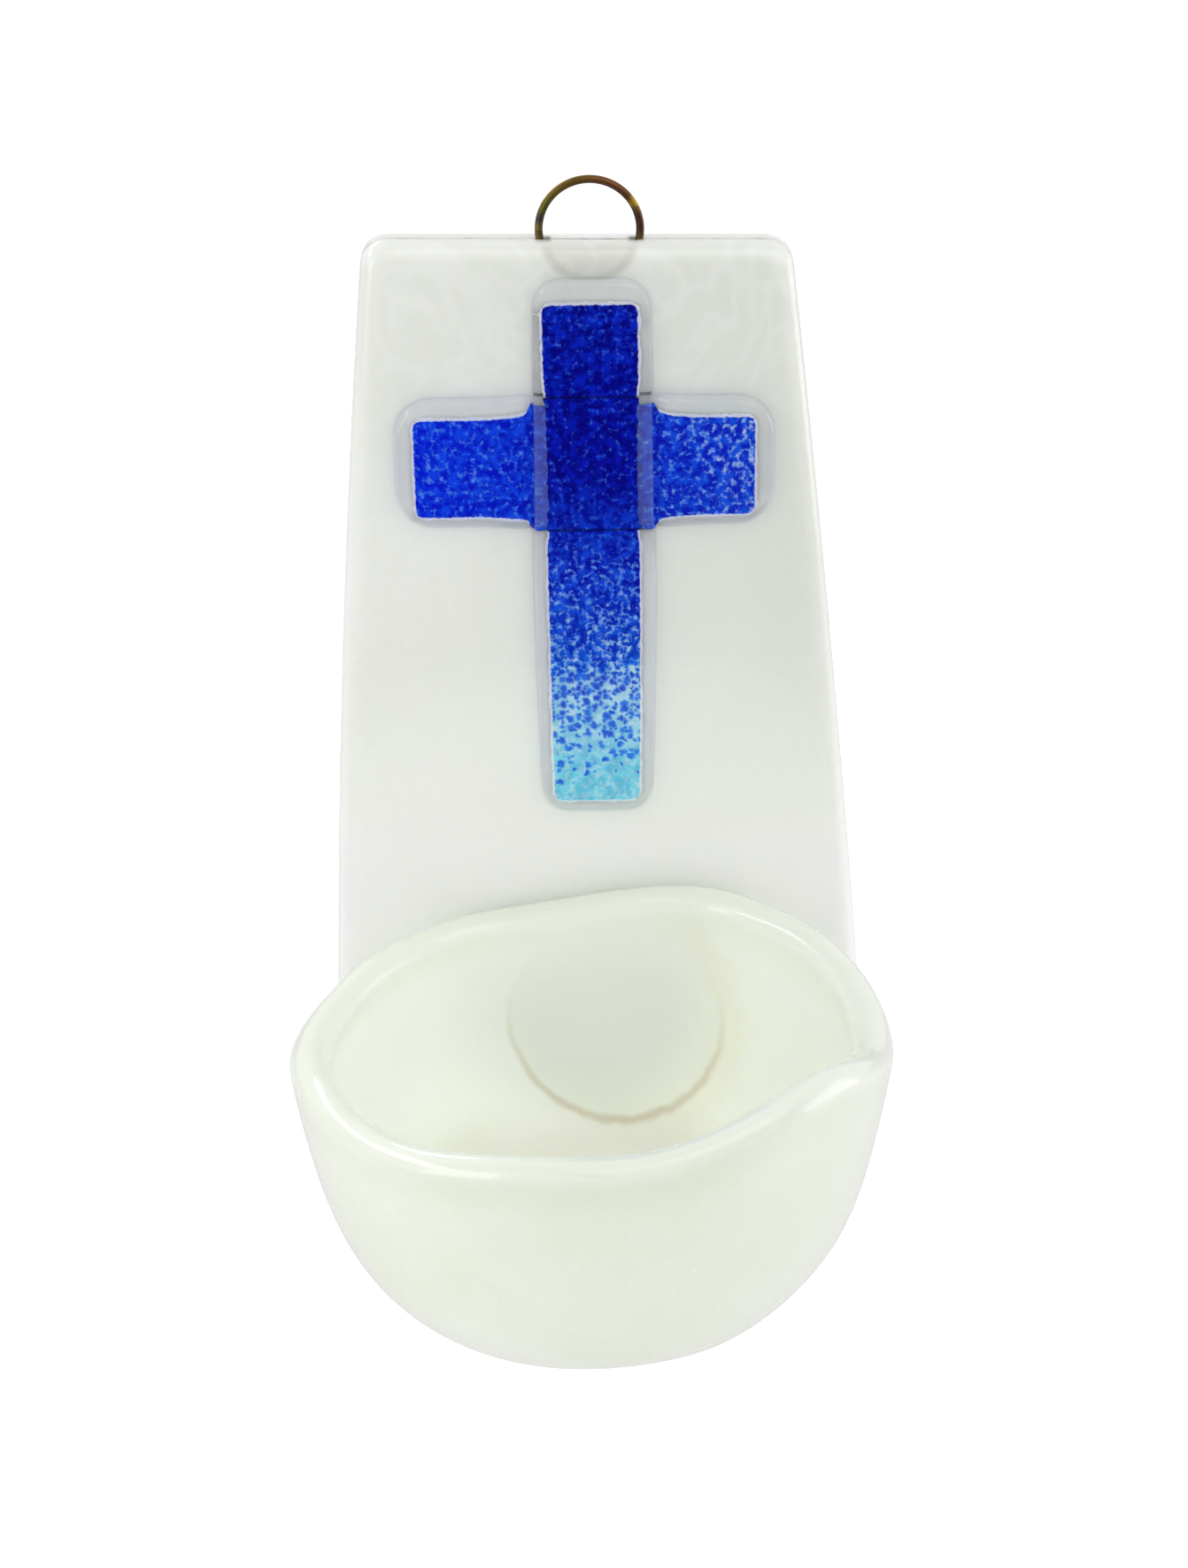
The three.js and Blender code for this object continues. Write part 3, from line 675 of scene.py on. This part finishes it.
def wire_finish():
    """Bronze wire coloured by the kiln's heat: olive and gold, red-brown, grey, with one bright patch, and painted
    shade on its inner side.
    """
    material, tree, shader, place, _ = finish_for("fired_bronze")
    turned = put(tree, "Mapping", {
        "Vector": vector_of(tree, "SUBTRACT", place, tuple(RING_CENTRE)).outputs[0],
        "Rotation": (math.radians(-90), 0, 0),
    }, vector_type="POINT")
    flow = put(tree, "TexNoise", {"Vector": place, "Scale": 0.9, "Detail": 3.0, "Roughness": 0.6})
    angle = put(tree, "TexGradient", {"Vector": turned.outputs[0]}, gradient_type="RADIAL").outputs["Fac"]
    stray = math_of(tree, "MULTIPLY", math_of(tree, "SUBTRACT", flow.outputs[0], 0.5), 0.05)
    heat = ramp(tree, math_of(tree, "ADD", angle, stray), (
        (0.0, tint(120, 100, 46)), (0.47, tint(120, 100, 46)), (0.5, tint(96, 66, 50)), (0.555, tint(104, 74, 56)),
        (0.585, tint(196, 164, 44)), (0.62, tint(118, 76, 50)), (0.70, tint(132, 88, 52)), (0.78, tint(122, 98, 44)),
        (0.86, tint(134, 112, 48)), (0.93, tint(124, 116, 44)), (0.965, tint(84, 76, 80)), (0.99, tint(150, 128, 64)),
    ))
    reach = vector_of(tree, "LENGTH", turned.outputs[0]).outputs["Value"]
    # Painted shade: the inner side of the ring is darker.
    under = step_between(tree, reach, RING_RADIUS + 0.05, RING_RADIUS - 0.4)
    painted_inner_shade = mix_colour(tree, math_of(tree, "MULTIPLY", under, 0.6), heat, tint(62, 48, 56))
    scale = put(tree, "TexNoise", {"Vector": place, "Scale": 4.5, "Detail": 4.0, "Roughness": 0.7})
    fill_in(tree, shader, {
        "Base Color": mix_colour(
            tree, 1.0, painted_inner_shade, curve_of(tree, scale.outputs[0], ((0.3, 0.7), (0.7, 1.15))), "MULTIPLY"),
        "Metallic": 0.75,
        "Roughness": spread(tree, scale.outputs[0], 0.3, 0.55),
        "Normal": put(tree, "Bump", {"Height": scale.outputs[0], "Strength": 0.4, "Distance": 0.04 * MM}).outputs[0],
    })
    return material


def adhesive_finish():
    """Cured clear adhesive, satin and slightly yellow, with small trapped bubbles."""
    material, tree, shader, place, _ = finish_for("cured_adhesive")
    bubble = put(tree, "TexVoronoi", {"Vector": place, "Scale": 0.8, "Randomness": 1.0})
    bubbles = step_between(tree, bubble.outputs["Distance"], 0.22, 0.1)
    flow = put(tree, "TexNoise", {"Vector": place, "Scale": 0.3, "Detail": 3.0})
    body = mix_colour(tree, flow.outputs[0], tint(216, 216, 198), tint(226, 230, 214))
    fill_in(tree, shader, {
        "Base Color": mix_colour(tree, math_of(tree, "MULTIPLY", bubbles, 0.5), body, tint(240, 242, 234)),
        "Roughness": 0.35,
        "Subsurface Weight": 0.4,
        "Subsurface Scale": 1.5 * MM,
        "Normal": put(tree, "Bump", {"Height": flow.outputs[0], "Strength": 0.5, "Distance": 0.3 * MM}).outputs[0],
    })
    return material


def trapped_air_finish():
    """The dark inside of a fine air channel in glass."""
    material, tree, shader, place, _ = finish_for("trapped_air")
    broken = put(tree, "TexNoise", {"Vector": place, "Scale": 0.6, "Detail": 2.0})
    fill_in(tree, shader, {
        "Base Color": ramp(tree, broken.outputs[0], ((0.35, tint(84, 84, 88)), (0.7, tint(140, 140, 142)))),
        "Roughness": 0.5,
    })
    return material


# Making of the pieces

def settle(bm, name, finish, slot_name, *nodes, crease=38):
    """Turns a finished shape into a piece that rides on the body and stands for its nodes, if any."""
    bmesh.ops.remove_doubles(bm, verts=bm.verts, dist=0.0005)
    bmesh.ops.recalc_face_normals(bm, faces=bm.faces)
    bmesh.ops.scale(bm, vec=(MM, MM, MM), verts=bm.verts)
    mesh = bpy.data.meshes.new(name)
    bm.to_mesh(mesh)
    bm.free()
    mesh.materials.append(finish)
    mesh.shade_smooth()
    mesh.set_sharp_from_angle(angle=math.radians(crease))
    piece = bpy.data.objects.new(name, mesh)
    bpy.context.scene.collection.objects.link(piece)
    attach(piece, "root")
    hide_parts(*nodes)
    return piece


def raise_face(bm, offset):
    """Extrudes every face by an offset and gives back the moved points."""
    raised = bmesh.ops.extrude_face_region(bm, geom=bm.faces[:])["geom"]
    moved = [part for part in raised if isinstance(part, bmesh.types.BMVert)]
    bmesh.ops.translate(bm, verts=moved, vec=offset)
    return moved


def round_corners(bm, corners, radius):
    bmesh.ops.bevel(
        bm, geom=corners, offset=radius, offset_type="OFFSET", segments=CORNER_STEPS,
        profile=0.5, affect="VERTICES", material=-1,
    )


def round_edge(bm, depth, radius):
    """Rounds the outline that lies at one depth, and frames the flat face inside it."""
    rim = [edge for edge in bm.edges if all(abs(v.co.y - depth) < 1e-4 for v in edge.verts)]
    bmesh.ops.bevel(
        bm, geom=rim, offset=radius, offset_type="OFFSET", segments=EDGE_STEPS,
        profile=0.5, affect="EDGES", material=-1,
    )
    flat = [face for face in bm.faces if all(abs(v.co.y - depth) < 1e-4 for v in face.verts)]
    bmesh.ops.inset_region(bm, faces=flat, thickness=0.15, use_even_offset=True)


def glass_sheet(name, near, far, near_round, far_round, finish, node):
    """One sheet of the plate between two depths, with bowed sides, soft corners and rounded edges."""
    bm = bmesh.new()
    corners = [bm.verts.new((x, near, z)) for x, z in PLATE_CORNERS]
    bm.faces.new(corners)
    round_corners(bm, corners[:2], PLATE_BOTTOM_CORNER)
    round_corners(bm, corners[2:], PLATE_TOP_CORNER)
    sides = [edge for edge in bm.edges if abs(edge.verts[0].co.z - edge.verts[1].co.z) > 50]
    top = [edge for edge in bm.edges if edge.calc_length() > 40 and edge.verts[0].co.z > 60]
    low = min(v.co.z for edge in sides for v in edge.verts)
    high = max(v.co.z for edge in sides for v in edge.verts)
    bmesh.ops.subdivide_edges(bm, edges=sides, cuts=SIDE_CUTS)
    bmesh.ops.subdivide_edges(bm, edges=top, cuts=TOP_CUTS)
    bmesh.ops.dissolve_faces(bm, faces=bm.faces[:])
    for v in bm.verts:
        share = min(max((v.co.z - low) / (high - low), 0), 1)
        bow = PLATE_RIGHT_BOW if v.co.x > 0 else -PLATE_LEFT_BOW
        v.co.x += bow * 4 * share * (1 - share)
    raise_face(bm, (0, far - near, 0))
    round_edge(bm, near, near_round)
    round_edge(bm, far, far_round)
    opening = math.copysign(SEAM_GAP / 2, near - far)
    for v in bm.verts:
        beside = 1 - ease(abs(v.co.x - RING_CENTRE.x), RING_RADIUS - 1.0, RING_RADIUS + 1.5)
        near_top = ease(v.co.z, PLATE_TOP - 2.5, PLATE_TOP - 0.4)
        near_seam = 1 - ease(abs(v.co.y - far), 0.2, 1.6)
        v.co.y += opening * beside * near_top * near_seam
    return settle(bm, name, finish, "milky_glass", node)


def hanging_ring():
    bm = bmesh.new()
    section = Matrix.Translation((RING_RADIUS, 0, 0))
    bmesh.ops.create_circle(bm, cap_ends=False, segments=24, radius=WIRE_RADIUS, matrix=section)
    bmesh.ops.spin(
        bm, geom=bm.verts[:] + bm.edges[:], cent=(0, 0, 0), axis=(0, 1, 0),
        angle=2 * math.pi, steps=144, use_merge=True,
    )
    bmesh.ops.translate(bm, verts=bm.verts, vec=RING_CENTRE)
    return settle(bm, "ring_wire", wire_finish(), "fired_wire", "hanging_ring")


def near_crossing(place, middle, half_width, run):
    """1 over the crossing of the two strips, falling to 0 over the run on either side."""
    return 1 - ease(abs(place - middle), half_width, half_width + run)


def over_bar(z, run):
    return near_crossing(z, BAR_MIDDLE, BAR_HEIGHT / 2, run)


def upright_bed(z):
    """Depth at which the upright's grains lie: on the plate, with a smooth rise over the bar."""
    return PLATE_FRONT - BAR_SQUEEZED * over_bar(z, DRAPE_RUN)


def up_share(z):
    """0 at the upright's foot, 1 at its top."""
    return (z - UPRIGHT_FOOT) / (UPRIGHT_TOP - UPRIGHT_FOOT)


def bar_half(x):
    return BAR_HEIGHT / 2 + BAR_FLARE * near_crossing(x, UPRIGHT_SHIFT, UPRIGHT_WIDTH / 2, BAR_FLARE_RUN)


def upright_half(z):
    narrowing = UPRIGHT_NARROWING * (1 - 2 * up_share(z)) ** 2
    return UPRIGHT_WIDTH / 2 - narrowing - UPRIGHT_WAIST * over_bar(z, WAIST_RUN)


def soft_strip(bm, half_width, half_length, corner):
    """A strip along Z at the origin, its front edges and corners rounded, cut across for bending."""
    outline = ((-half_width, -half_length), (half_width, -half_length), (half_width, half_length), (-half_width, half_length))
    corners = [bm.verts.new((x, STRIP_SINK, z)) for x, z in outline]
    bm.faces.new(corners)
    round_corners(bm, corners, corner)
    raise_face(bm, (0, -STRIP_THICKNESS - STRIP_SINK, 0))
    round_edge(bm, -STRIP_THICKNESS, STRIP_EDGE_ROUND)
    cuts = int(2 * half_length / 0.9)
    for i in range(1, cuts):
        height = -half_length + 2 * half_length * i / cuts
        bmesh.ops.bisect_plane(
            bm, geom=bm.verts[:] + bm.edges[:] + bm.faces[:], plane_co=(0, 0, height), plane_no=(0, 0, 1), dist=1e-5,
        )


def bar_strip(finish):
    bm = bmesh.new()
    soft_strip(bm, BAR_HEIGHT / 2, BAR_LENGTH / 2, BAR_CORNER)
    bmesh.ops.rotate(bm, verts=bm.verts, cent=(0, 0, 0), matrix=Matrix.Rotation(math.radians(90), 3, "Y"))
    for v in bm.verts:
        v.co.x += BAR_SHIFT
        v.co.z = v.co.z * bar_half(v.co.x) / (BAR_HEIGHT / 2) + BAR_MIDDLE
        if v.co.y < 0:
            squeezed = near_crossing(v.co.x, UPRIGHT_SHIFT, UPRIGHT_WIDTH / 2 + 0.2, 1.8)
            v.co.y *= blend(squeezed, 1, BAR_SQUEEZED / STRIP_THICKNESS)
        v.co.y += PLATE_FRONT
    return settle(bm, "bar_strip", finish, "clear_glass", "cross_bar")


def upright_strip(finish):
    bm = bmesh.new()
    soft_strip(bm, UPRIGHT_WIDTH / 2, (UPRIGHT_TOP - UPRIGHT_FOOT) / 2, UPRIGHT_CORNER)
    for v in bm.verts:
        v.co.z += (UPRIGHT_TOP + UPRIGHT_FOOT) / 2
        v.co.x = v.co.x * upright_half(v.co.z) / (UPRIGHT_WIDTH / 2) + UPRIGHT_SHIFT
        if v.co.y > 0:
            v.co.y += PLATE_FRONT - BAR_SQUEEZED * over_bar(v.co.z, 0.9)
        else:
            v.co.y += PLATE_FRONT - UPRIGHT_RISE * over_bar(v.co.z, DRAPE_RUN)
    return settle(bm, "upright_strip", finish, "clear_glass", "cross_upright")


def trapped_air(side):
    """Fine channel left along an edge of the bar, where the upright bridges down to the plate."""
    z = BAR_MIDDLE + side * (BAR_HEIGHT / 2 + BAR_FLARE + AIR_RADIUS)
    bm = bmesh.new()
    lie = Matrix.Translation((UPRIGHT_SHIFT, PLATE_FRONT - AIR_RADIUS, z)) @ Matrix.Rotation(math.radians(90), 4, "Y")
    length = 2 * upright_half(z) - 0.4
    bmesh.ops.create_cone(
        bm, cap_ends=True, segments=12, radius1=AIR_RADIUS, radius2=AIR_RADIUS, depth=length, matrix=lie,
    )
    name = "air_line_top" if side > 0 else "air_line_bottom"
    return settle(bm, name, AIR_FINISH, "clear_glass")


def ragged(x, z, seed):
    """How far a grain at the edge of a layer stands out."""
    coarse = noise.noise(Vector((x * 1.1, z * 1.1, seed)))
    fine = noise.noise(Vector((x * 2.6, z * 2.6, seed + 7)))
    return RAGGED_EDGE * (coarse + 0.7 * fine)


def soft_corner(from_end, from_side):
    """How far a point near a square corner moves in along and across to make the corner round."""
    along = max(1 - from_end / GRAIN_CORNER, 0)
    across = max(1 - from_side / GRAIN_CORNER, 0)
    kept_along = along * math.sqrt(1 - across * across / 2)
    kept_across = across * math.sqrt(1 - along * along / 2)
    return (along - kept_along) * GRAIN_CORNER, (across - kept_across) * GRAIN_CORNER


def grain_slab(name, length, width, lay, finish, slot_name, node):
    """A layer of fused grains with an uneven outline and top; lay places a point of the flat layer."""
    bm = bmesh.new()
    across, along = int(width / GRAIN_CELL), int(length / GRAIN_CELL)
    bmesh.ops.create_grid(bm, x_segments=across, y_segments=along, size=0.5)
    outline = bm.verts.layers.float.new("outline")
    rim = {v for v in bm.verts if v.is_boundary}
    for v in bm.verts:
        side, run = 2 * v.co.x, v.co.y + 0.5
        v[outline] = max(1 - lay.from_outline(side, run) / GRAIN_OUTLINE, 0)
        at_side, at_end = abs(side) > 0.999, not 0.001 < run < 0.999
        v.co = lay(side, run)
        stray = ragged(v.co.x, v.co.z, 3.0) if v in rim else 0
        v.co += stray * lay.outward(side, run, at_side, at_end)
    moved = raise_face(bm, (0, -GRAIN_THICKNESS - STRIP_SINK, 0))
    for v in moved:
        v.co.y += 0.14 * noise.noise(Vector((v.co.x * 1.7, v.co.z * 1.7, 11)))
    return settle(bm, name, finish, slot_name, node, crease=60)


class BarLay:
    """Places points of the bar's grain layer; its sides spread where the upright presses on it."""

    def __init__(self):
        self.half_length = BAR_LENGTH / 2 - BAR_END_MARGIN

    def flat_place(self, side, run):
        """Place along the bar, its half height there, and the distances from the end and the side."""
        x = BAR_SHIFT + blend(run, -self.half_length, self.half_length)
        beyond = abs(x - UPRIGHT_SHIFT) - UPRIGHT_WIDTH / 2
        turn = min(max(1 - beyond / GRAIN_SPREAD_RUN, 0), 1)
        pressed = 1 - math.sqrt(1 - turn * turn)
        half = bar_half(x) - blend(pressed, BAR_SIDE_MARGIN, BAR_CROSSING_MARGIN)
        return x, half, 2 * self.half_length * min(run, 1 - run), half * (1 - abs(side))

    def __call__(self, side, run):
        x, half, from_end, from_side = self.flat_place(side, run)
        along, across = soft_corner(from_end, from_side)
        x -= math.copysign(along, run - 0.5)
        z = side * half - math.copysign(across, side)
        return Vector((x, PLATE_FRONT + STRIP_SINK, BAR_MIDDLE - BAR_GRAIN_SINK + z))

    def from_outline(self, side, run):
        x, _, from_end, from_side = self.flat_place(side, run)
        under = abs(x - UPRIGHT_SHIFT) < UPRIGHT_WIDTH / 2 + 0.4
        return GRAIN_OUTLINE if under else min(from_end, from_side)

    def outward(self, side, run, at_side, at_end):
        return Vector((math.copysign(at_end, run - 0.5), 0, math.copysign(at_side, side)))


class UprightLay:
    """Places points of the upright's grain layers between two heights, following its drape."""

    def __init__(self, low, high, low_open, high_open):
        self.low, self.high = low, high
        self.open_ends = {0: low_open, 1: high_open}

    def flat_place(self, side, run):
        """Height, half width there, and the distances from an open end and the side."""
        z = blend(run, self.low, self.high)
        waist = GRAIN_WAIST * near_crossing(z, BAR_MIDDLE, BAR_HEIGHT / 2 - 3, WAIST_RUN)
        half = UPRIGHT_GRAIN_HALF - GRAIN_FOOT_TAPER * (1 - up_share(z)) ** 3 - waist
        is_open = self.open_ends[round(run)]
        from_end = (self.high - self.low) * min(run, 1 - run) if is_open else GRAIN_CORNER
        return z, half, from_end, half * (1 - abs(side))

    def __call__(self, side, run):
        z, half, from_end, from_side = self.flat_place(side, run)
        along, across = soft_corner(from_end, from_side)
        z -= math.copysign(along, run - 0.5)
        x = side * half - math.copysign(across, side)
        middle = UPRIGHT_SHIFT + UPRIGHT_GRAIN_SHIFT + GRAIN_LEAN * up_share(z) ** 2
        return Vector((middle + x, upright_bed(z) + STRIP_SINK, z))

    def from_outline(self, side, run):
        z, _, from_end, from_side = self.flat_place(side, run)
        over = abs(z - BAR_MIDDLE) < BAR_HEIGHT / 2 + 0.4
        return GRAIN_OUTLINE if over else min(from_end, from_side)

    def outward(self, side, run, at_side, at_end):
        end = at_end and self.open_ends[round(run)]
        return Vector((math.copysign(at_side, side), 0, math.copysign(end, run - 0.5)))


def bowl_skin(inset, low, high):
    """One skin of the bowl from its axis to below the rim."""
    radius = BOWL_RADIUS - inset
    reach = BOWL_WALL_FULLNESS * (high - low)
    return geometry.interpolate_bezier(
        Vector((0, 0, low)),
        Vector((BOWL_FOOT_FULLNESS * radius, 0, low)),
        Vector((radius - reach * math.sin(BOWL_FLARE), 0, high - reach * math.cos(BOWL_FLARE))),
        Vector((radius, 0, high)),
        SKIN_STEPS,
    )


def rim_ripple(angle):
    return sum(rise * math.cos(lobes * (angle - math.radians(peak))) for lobes, rise, peak in RIM_WAVES)


def soft_least(first, second, run):
    """The lesser of two values, with a rounded change from one to the other."""
    share = min(max(0.5 + 0.5 * (second - first) / run, 0), 1)
    return blend(share, second, first) - run * share * (1 - share)


def bowl_shell():
    """Turned bowl, then slumped: its rim ripples, its bottom leans to the wall and its back lies flat."""
    bm = bmesh.new()
    across = bm.verts.layers.float.new("across_wall")
    below = bm.verts.layers.float.new("below_rim")
    rim_radius = BOWL_WALL / 2
    shoulder = BOWL_HEIGHT - rim_radius
    section = [(point, 0.0) for point in bowl_skin(0, 0, shoulder)]
    for i in range(1, RIM_STEPS):
        turn = math.pi * i / RIM_STEPS
        point = Vector((BOWL_RADIUS - rim_radius + rim_radius * math.cos(turn), 0, shoulder + rim_radius * math.sin(turn)))
        section.append((point, ease(i, 0, RIM_STEPS)))
    section += [(point, 1.0) for point in reversed(bowl_skin(BOWL_WALL, BOWL_FLOOR, shoulder))]
    chain = []
    for point, share in section:
        v = bm.verts.new(point)
        v[across] = share
        v[below] = BOWL_HEIGHT - point.z
        chain.append(v)
    links = [bm.edges.new(pair) for pair in zip(chain, chain[1:])]
    bmesh.ops.spin(
        bm, geom=chain + links, cent=(0, 0, 0), axis=(0, 0, 1), angle=2 * math.pi, steps=BOWL_SIDES, use_merge=True,
    )
    bmesh.ops.remove_doubles(bm, verts=bm.verts, dist=0.001)
    for v in bm.verts:
        lift = v.co.z / BOWL_HEIGHT
        wobble = 0.3 * noise.noise(v.co / 15)
        ripple = rim_ripple(math.atan2(v.co.y, v.co.x))
        outward = Vector((v.co.x, v.co.y, 0))
        if outward.length > 1:
            v.co += outward.normalized() * wobble
        leaned = v.co.y + BOWL_AXIS + BOWL_LEAN * (1 - lift)
        v.co.y = soft_least(leaned, BOWL_BACK - v[across] * BOWL_WALL, BOWL_BACK_BLEND)
        v.co.x += BOWL_SHIFT
        v.co.z += BOWL_BOTTOM + lift * lift * ripple
    return settle(bm, "bowl_shell", bowl_finish(), "bowl_glass", "bowl")


def bond_pad():
    """Pad of adhesive with an uneven, squeezed-out edge."""
    bm = bmesh.new()
    bmesh.ops.create_circle(bm, cap_ends=True, segments=96, radius=BOND_RADIUS)
    bmesh.ops.rotate(bm, verts=bm.verts, cent=(0, 0, 0), matrix=Matrix.Rotation(math.radians(90), 3, "X"))
    for v in bm.verts:
        v.co *= 1 + 0.03 * noise.noise(v.co / 4)
    bmesh.ops.translate(bm, verts=bm.verts, vec=BOND_CENTRE + Vector((0, BOND_THICKNESS / 2, 0)))
    raise_face(bm, (0, -BOND_THICKNESS, 0))
    round_edge(bm, BOND_CENTRE.y - BOND_THICKNESS / 2, 0.3)
    return settle(bm, "bond_pad", adhesive_finish(), "adhesive", "bond_disc")


glass_sheet("sheet_back", 0.0, -SHEET, BACK_EDGE_ROUND, SEAM_ROUND, back_sheet_finish(), "back_sheet")
glass_sheet("sheet_front", PLATE_FRONT, -SHEET, FRONT_EDGE_ROUND, SEAM_ROUND, front_sheet_finish(), "front_sheet")
hanging_ring()
clear_glass = clear_strip_finish()
bar_strip(clear_glass)
upright_strip(clear_glass)
AIR_FINISH = trapped_air_finish()
trapped_air(1)
trapped_air(-1)
grain_slab(
    "bar_grains", BAR_LENGTH - 2 * BAR_END_MARGIN, BAR_HEIGHT - 2 * BAR_SIDE_MARGIN,
    BarLay(), bar_grain_finish(), "cobalt_grit", "cross_bar_grit",
)
grain_slab(
    "upright_grains_blue", UPRIGHT_GRAIN_TOP - GRAIN_CHANGE, 2 * UPRIGHT_GRAIN_HALF,
    UprightLay(GRAIN_CHANGE, UPRIGHT_GRAIN_TOP, False, True), upright_grain_finish("upright_cobalt"),
    "cobalt_grit", "cross_upright_grit_blue",
)
grain_slab(
    "upright_grains_turquoise", GRAIN_CHANGE - UPRIGHT_GRAIN_FOOT, 2 * UPRIGHT_GRAIN_HALF,
    UprightLay(UPRIGHT_GRAIN_FOOT, GRAIN_CHANGE, True, False), upright_grain_finish("upright_turquoise"),
    "turquoise_grit", "cross_upright_grit_turquoise",
)
bowl_shell()
bond_pad()


# Stage, light and camera

def mirrored_ray(tree, path):
    """1 for what is seen in a reflection and not through glass."""
    straight = math_of(tree, "SUBTRACT", 1.0, path.outputs["Is Transmission Ray"])
    return math_of(tree, "MULTIPLY", path.outputs["Is Glossy Ray"], straight)


def pale_floor():
    """A wide pale floor that looks white from above and keeps the object's shadow."""
    bm = bmesh.new()
    bmesh.ops.create_grid(bm, x_segments=1, y_segments=1, size=6)
    bmesh.ops.translate(bm, verts=bm.verts, vec=(0, 0, FLOOR_HEIGHT * MM))
    mesh = bpy.data.meshes.new("floor")
    bm.to_mesh(mesh)
    bm.free()
    material = bpy.data.materials.new("pale_floor")
    material.use_nodes = True
    tree = material.node_tree
    shader = tree.nodes["Principled BSDF"]
    path = put(tree, "LightPath")
    near = step_between(tree, parts_of(tree, put(tree, "TexCoord").outputs["Object"])[1], -0.05, -0.3)
    dark = math_of(tree, "MULTIPLY", mirrored_ray(tree, path), near)
    fill_in(tree, shader, {
        "Base Color": mix_colour(tree, dark, (0.8, 0.8, 0.8, 1), (0.06, 0.06, 0.06, 1)),
        "Roughness": 0.9,
        "Specular IOR Level": 0.0,
        "Emission Color": (1, 1, 1, 1),
        "Emission Strength": math_of(tree, "MULTIPLY", path.outputs["Is Camera Ray"], 0.5),
    })
    mesh.materials.append(material)
    floor = bpy.data.objects.new("floor", mesh)
    bpy.context.scene.collection.objects.link(floor)


def soft_world(level, mirrored):
    """White to the eye, a plain even light on the object, and a dim room in front of it in reflections."""
    world = bpy.data.worlds.new("studio")
    world.use_nodes = True
    tree = world.node_tree
    path = put(tree, "LightPath")
    way = parts_of(tree, put(tree, "TexCoord").outputs["Generated"])
    shown = put(tree, "MapRange", {0: way[1], 1: -0.2, 2: 0.5, 3: mirrored, 4: 1.0}).outputs[0]
    seen = math_of(tree, "MULTIPLY", path.outputs["Is Camera Ray"], 1 - level)
    change = math_of(tree, "MULTIPLY", mirrored_ray(tree, path), math_of(tree, "SUBTRACT", shown, level))
    strength = math_of(tree, "ADD", math_of(tree, "ADD", seen, level), change)
    tree.nodes["Background"].inputs["Color"].default_value = (1, 1, 1, 1)
    tree.links.new(strength, tree.nodes["Background"].inputs["Strength"])
    bpy.context.scene.world = world


def lamp(name, place, aim, width, height, power):
    data = bpy.data.lights.new(name, "AREA")
    data.shape = "RECTANGLE"
    data.size, data.size_y = width, height
    data.energy = power
    made = bpy.data.objects.new(name, data)
    made.location = place
    made.rotation_euler = (Vector(aim) - Vector(place)).to_track_quat("-Z", "Y").to_euler()
    bpy.context.scene.collection.objects.link(made)


def camera():
    """Seen from 26 degrees above, 400 mm away, turned very slightly."""
    pitch, distance = math.radians(26), 0.4
    target = Vector((0, -0.02, -0.004))
    data = bpy.data.cameras.new("camera")
    data.sensor_width = 36
    data.lens = 68.87
    data.clip_start = 0.01
    made = bpy.data.objects.new("camera", data)
    made.location = target + distance * Vector((0, -math.cos(pitch), math.sin(pitch)))
    turn = Matrix.Rotation(math.radians(90) - pitch, 3, "X") @ Matrix.Rotation(math.radians(-0.8), 3, "Z")
    made.rotation_euler = turn.to_euler()
    bpy.context.scene.collection.objects.link(made)
    bpy.context.scene.camera = made


pale_floor()
soft_world(0.66, 0.2)
lamp("window", (-0.62, 0.25, 0.55), (0, -0.04, -0.03), 1.6, 0.14, 2.4)
lamp("front_top", (0.4, -0.58, 0.72), (0, -0.03, -0.04), 1.0, 0.8, 2.9)
lamp("near_fill", (-0.22, -0.22, 0.06), (-0.01, 0, -0.01), 0.14, 0.16, 0.15)
lamp("right_fill", (0.85, 0.05, 0.0), (0, -0.05, -0.04), 0.6, 0.6, 1.8)
camera()
bpy.context.scene.view_settings.view_transform = "Standard"
